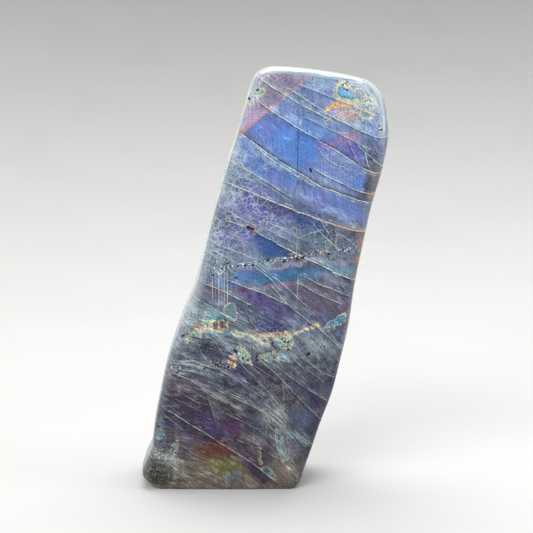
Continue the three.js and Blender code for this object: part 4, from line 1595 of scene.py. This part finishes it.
# %% Masks of the cleavage lines
BRIGHT_LINE_MM, DARK_LINE_MM, DARK_LINE_DROP_MM = 0.38, 0.45, 0.6
SECOND_LINE_MM, SECOND_LINE_SWING_MM, SECOND_LINE_WIDTH_MM = 1.15, 0.8, 0.28
SECOND_LINE_STRENGTH = 0.7
JITTER_MM, RAGGED_MM = 0.12, 0.35
STEP_MM, STEP_SIZES_MM = 0.4, (5, 10, 3)
along = grain(3.0, 3.0, longer=(1.6, 1, 1), distortion=0.3)
steps = polish.node(
    "ShaderNodeTexVoronoi", {"feature": "F1"}, Vector=scaled(flow, 1, STEP_SIZES_MM), Scale=1.0, out="Color",
)
jitter = grain(1.4, 2.0) * JITTER_MM + (polish.parts(steps)[0] - 0.5) * STEP_MM
second_share = along.rise(0.0, 0.25) * SECOND_LINE_STRENGTH
distances = polish.parts(polish.field("line_distance", out="Vector"))
strengths = polish.parts(polish.field("line_strength", out="Vector"))
bright_families, dark_families = [], []
for distance, strength in zip(distances, strengths):
    off = distance + jitter
    off_second = (off - (SECOND_LINE_MM + along * SECOND_LINE_SWING_MM)).size()
    first = (off.size() - fine_mottled * RAGGED_MM).rise(BRIGHT_LINE_MM, 0.0)
    second = off_second.rise(SECOND_LINE_WIDTH_MM, 0.0) * second_share
    bright_families.append(strength * first.or_more(second))
    dark_families.append(strength.size() * (off + DARK_LINE_DROP_MM).size().rise(DARK_LINE_MM, 0.0))
bright_lines = strongest(bright_families) * (0.95 + along * 1.8 + fine_mottled * 0.7)
dark_lines = strongest(dark_families) * (0.9 - along * 0.8)
print("large lines:", len(polish.tree.nodes), "nodes so far")


# %% [markdown]
# Between the large cracks the stone is full of fine ones: hairlines along the planes, a few across
# them, and a web like cracked ice. Lines where a smooth noise changes sign wander and end like these.
# The web is the border of Voronoi cells, bent by noise so that no straight cell is left, and a frost
# of short hairlines between them.

# %% Masks of the hairlines and the web
STEEPER = (0.0, math.radians(-30), 0.0)
HAIR_SHADOW_SHIFT = 0.13  # each hairline has a dark side, cut from the same noise a little further on
CROOKED_MM = 6.0
plane_noise = grain(1.7, 2.0, 0.5, longer=(14, 4, 1), on=flow)
long_noise = grain(5.0, 2.0, 0.5, longer=(9, 4, 1), on=flow, distortion=0.2)
plane_hairs, long_hairs = hairlines(plane_noise, 0.08), hairlines(long_noise, 0.05)
hair_shadows = hairlines(plane_noise + HAIR_SHADOW_SHIFT, 0.1).or_more(hairlines(long_noise + HAIR_SHADOW_SHIFT * 0.6, 0.06))
steeper = polish.node("ShaderNodeVectorRotate", {"rotation_type": "EULER_XYZ"}, Vector=flow, Rotation=STEEPER)
cross_hairs = hairlines(grain(6.5, 2.0, 0.5, longer=(5, 4, 1), on=steeper), 0.035)
upright_hairs = hairlines(grain(2.4, 1.0, 0.5, longer=(0.8, 4, 20)), 0.06)
feathers = hairlines(grain(1.1, 3.0, 0.6, longer=(9, 4, 1), on=steeper), 0.14)
crooked = polish.node("ShaderNodeTexNoise", {}, Vector=place, Scale=0.2, Detail=3.0, out="Color")
crooked = polish.vector("MULTIPLY_ADD", crooked, (CROOKED_MM,) * 3, place)


def crack_net(cell_mm, width, longer):
    """Pale hairlines between cells of about cell_mm."""
    gap = polish.node(
        "ShaderNodeTexVoronoi", {"feature": "DISTANCE_TO_EDGE"}, Vector=scaled(crooked, cell_mm, longer),
        Scale=1.0, out="Distance",
    )
    return gap.rise(width, 0.0)


frost = hairlines(grain(2.6, 3.0, 0.6, distortion=0.8), 0.1)
wide_net, close_net = crack_net(7, 0.05, (1.4, 1, 0.8)), crack_net(2.6, 0.1, (1.3, 1, 1))
web_lines = strongest([wide_net, close_net * 0.8, frost * 0.4]) * web_share * (0.8 + along * 1.2)
calm_low = 0.6 + above_foot * 0.4 - low_right * 0.4
hair_share = mottled.rise(-0.3, 0.3) * (by_height(1.4, 0.2) + along * 1.2) * calm_low
fine_lines = strongest([
    strongest([plane_hairs, long_hairs, cross_hairs * 0.7]) * hair_share,
    upright_hairs * (0.15 - mottled * 0.4),
    feathers * (haze + 0.12) * 0.9,
])
print("fine lines:", len(polish.tree.nodes), "nodes so far")


# %% [markdown]
# The lines are laid on from the deepest to the nearest: dark sides, fine lines, web, large lines. A
# fine line has no colour of its own. It is the flash behind it, made brighter and a little greyer.

# %% Lay the lines over the stone
LINE_COLOUR, LOW_LINE_COLOUR = paint(208, 222, 216), paint(176, 184, 174)
DARK_COLOUR, RUST_COLOUR = paint(24, 26, 38), paint(208, 134, 76)
HAIR_GAIN, HAIR_LIFT = (2.4, 2.4, 2.4), (0.06, 0.072, 0.066)
rust_share, grain_share, pit_share = polish.parts(polish.field("stains", out="Vector"))
rust_patches = rust_share * (0.5 + mottled * 0.8 + fine_mottled * 0.9).rise(0.3, 0.8)
line_colour = polish.mix(upper_share, LOW_LINE_COLOUR, LINE_COLOUR)
line_colour = polish.mix(rust_patches, line_colour, RUST_COLOUR)
stone_colour = polish.mix(dark_lines * 0.75, stone_colour, DARK_COLOUR)
# Painted shadow on the dark side of the fine hairlines, as beside the large cracks
stone_colour = polish.mix(hair_shadows * hair_share * by_height(0.45, 0.25), stone_colour, DARK_COLOUR)
hair_colour = polish.vector("MULTIPLY_ADD", stone_colour, HAIR_GAIN, HAIR_LIFT)
stone_colour = polish.mix(fine_lines * 0.9, stone_colour, hair_colour)
stone_colour = polish.mix(web_lines * 0.75, stone_colour, LINE_COLOUR)
stone_colour = polish.mix(bright_lines * 0.9, stone_colour, line_colour)
print("lines laid on:", len(polish.tree.nodes), "nodes so far")


# %% [markdown]
# A few upright twin planes at the left catch the light as straight streaks. Their places are read off
# the photograph, as pixels across at one height. Grains are tiny bright and dark specks where the
# polish plucked the stone.

# %% Streaks and grains
STREAK_LINES = [  # pixel across, strength
    (212.4, 0.6), (215.6, 0.25), (218.9, 1.0), (221.6, 0.3),
    (224.5, 0.6), (227.5, 0.9), (231, 0.3), (236, 0.3),
]
STREAK_HEIGHT_PX, STREAK_MM, STREAK_SWAY_MM = 288, 0.45, 0.2
PALE_SPECK, DARK_SPECK_AND_PIT_SHADE = paint(222, 222, 212), paint(16, 13, 18)
side_edge, top_edge, streak_share = polish.parts(polish.field("edge", out="Vector"))
across = polish.parts(place)[0] + upright_fine * STREAK_SWAY_MM


def streak(pixel_x, strength):
    """One upright streak through that pixel."""
    streak_u = float(on_face(pixel_x, STREAK_HEIGHT_PX)[0])
    return (across - streak_u).size().rise(STREAK_MM, 0.0) * strength


streak_cover = strongest([streak(*line) for line in STREAK_LINES]) * streak_share
streak_cover = streak_cover * (0.8 + along * 0.6 + fine_mottled * 0.9)
stone_colour = polish.mix(streak_cover, stone_colour, LINE_COLOUR)
speck = grain(1.0, 1.0)
stone_colour = polish.mix(grain_share * speck.rise(0.04, 0.3), stone_colour, PALE_SPECK)
stone_colour = polish.mix(grain_share * speck.rise(-0.12, -0.34), stone_colour, DARK_SPECK_AND_PIT_SHADE)
print("streaks:", len(STREAK_LINES), "and", len(polish.tree.nodes), "nodes so far")


# %% [markdown]
# The pale edges lie over all of that, milky stone with painted sheen. The top edge and the right
# shoulder look like thick glass with painted glints in it. Rust that has run out of the cracks is
# thickest on the edges. A last bright line, a painted highlight, marks the rim of the upper half. The
# pits, which the mesh has as hollows, get painted shade, dark whatever is round them.

# %% Edges with painted sheen, rust, rim highlight and pit shade
PALE_EDGE_SHEEN_COLOUR, RIM_HIGHLIGHT_COLOUR = paint(200, 212, 216), paint(244, 246, 238)
MILKY_SHEEN_COLOUR, PAINTED_GLINT_COLOUR = paint(154, 168, 184), paint(228, 236, 230)
RIM_HIGHLIGHT_MM, RIM_HIGHLIGHT_FADE_MM = 0.9, 0.8
rim = polish.field("rim", out="Vector")
rim_streaks = grain(0.9, 3.0, 0.6, longer=(1, 4, 24), on=rim)
side_edge = side_edge * (0.7 + mottled * 0.3 + rim_streaks * 0.8 + fine_mottled)
# Pale side edges: milky stone with painted sheen over it
stone_colour = polish.mix(side_edge * by_height(0.85, 0.65), stone_colour, PALE_EDGE_SHEEN_COLOUR)
milky_sheen = polish.mix(rim_streaks.rise(-0.22, 0.2), MILKY_SHEEN_COLOUR, PAINTED_GLINT_COLOUR)
# Painted sheen and glints on the top edge and the right shoulder
stone_colour = polish.mix(top_edge * (0.85 + fine_mottled * 0.3), stone_colour, milky_sheen)
stone_colour = polish.mix(rust_patches * (0.4 + side_edge * 1.3), stone_colour, RUST_COLOUR)
# Painted highlight: a bright line along the rim of the upper half
rim_highlight = polish.parts(rim)[0].rise(RIM_HIGHLIGHT_MM + RIM_HIGHLIGHT_FADE_MM, RIM_HIGHLIGHT_MM) * upper_share
rim_highlight = rim_highlight * top_edge.or_more(side_edge * 1.6)
stone_colour = polish.mix(rim_highlight * (0.7 + rim_streaks), stone_colour, RIM_HIGHLIGHT_COLOUR)
pits = pit_share.rise(0.2, 0.55)
# Painted shade: the pits are darkened whatever is round them
stone_colour = polish.mix(pits * 0.95, stone_colour, DARK_SPECK_AND_PIT_SHADE)
print("edges and pits:", len(polish.tree.nodes), "nodes so far")


# %% [markdown]
# The gloss: low roughness, a little more in the haze and much more in cracks and pits. A touch of
# metal in the flash makes its colour ride on the reflection, as light does from layers in the stone.

# %% Gloss and relief
POLISH_ROUGHNESS, FLASH_METAL, GLOSS_LEVEL = 0.15, 0.12, 0.18
RELIEF_STRENGTH, RELIEF_METRES = 0.35, 0.0002
dull_grains = grain_share * speck.size().rise(0.15, 0.4)
dull = strongest([bright_lines, fine_lines * 0.6, web_lines, pits, dull_grains])
roughness = POLISH_ROUGHNESS + mottled * 0.04 + haze * 0.08 + dull * 0.35
metal = FLASH_METAL * (1 - haze) * (1 - dull)
relief = fine_mottled * 0.05 + mottled * 0.15 - bright_lines * 0.25 - fine_lines * 0.1 - pit_share * 0.5
normal = polish.node("ShaderNodeBump", {}, Strength=RELIEF_STRENGTH, Distance=RELIEF_METRES, Height=relief)
stone.data.materials.append(
    polish.finish(
        Base_Color=stone_colour, Roughness=roughness, Metallic=metal, Normal=normal,
        Specular_IOR_Level=GLOSS_LEVEL,
    )
)
print("finish:", len(polish.tree.nodes), "nodes")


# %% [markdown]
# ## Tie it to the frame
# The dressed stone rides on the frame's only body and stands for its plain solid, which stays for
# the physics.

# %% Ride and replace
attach(stone, "root")
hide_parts("labradorite")
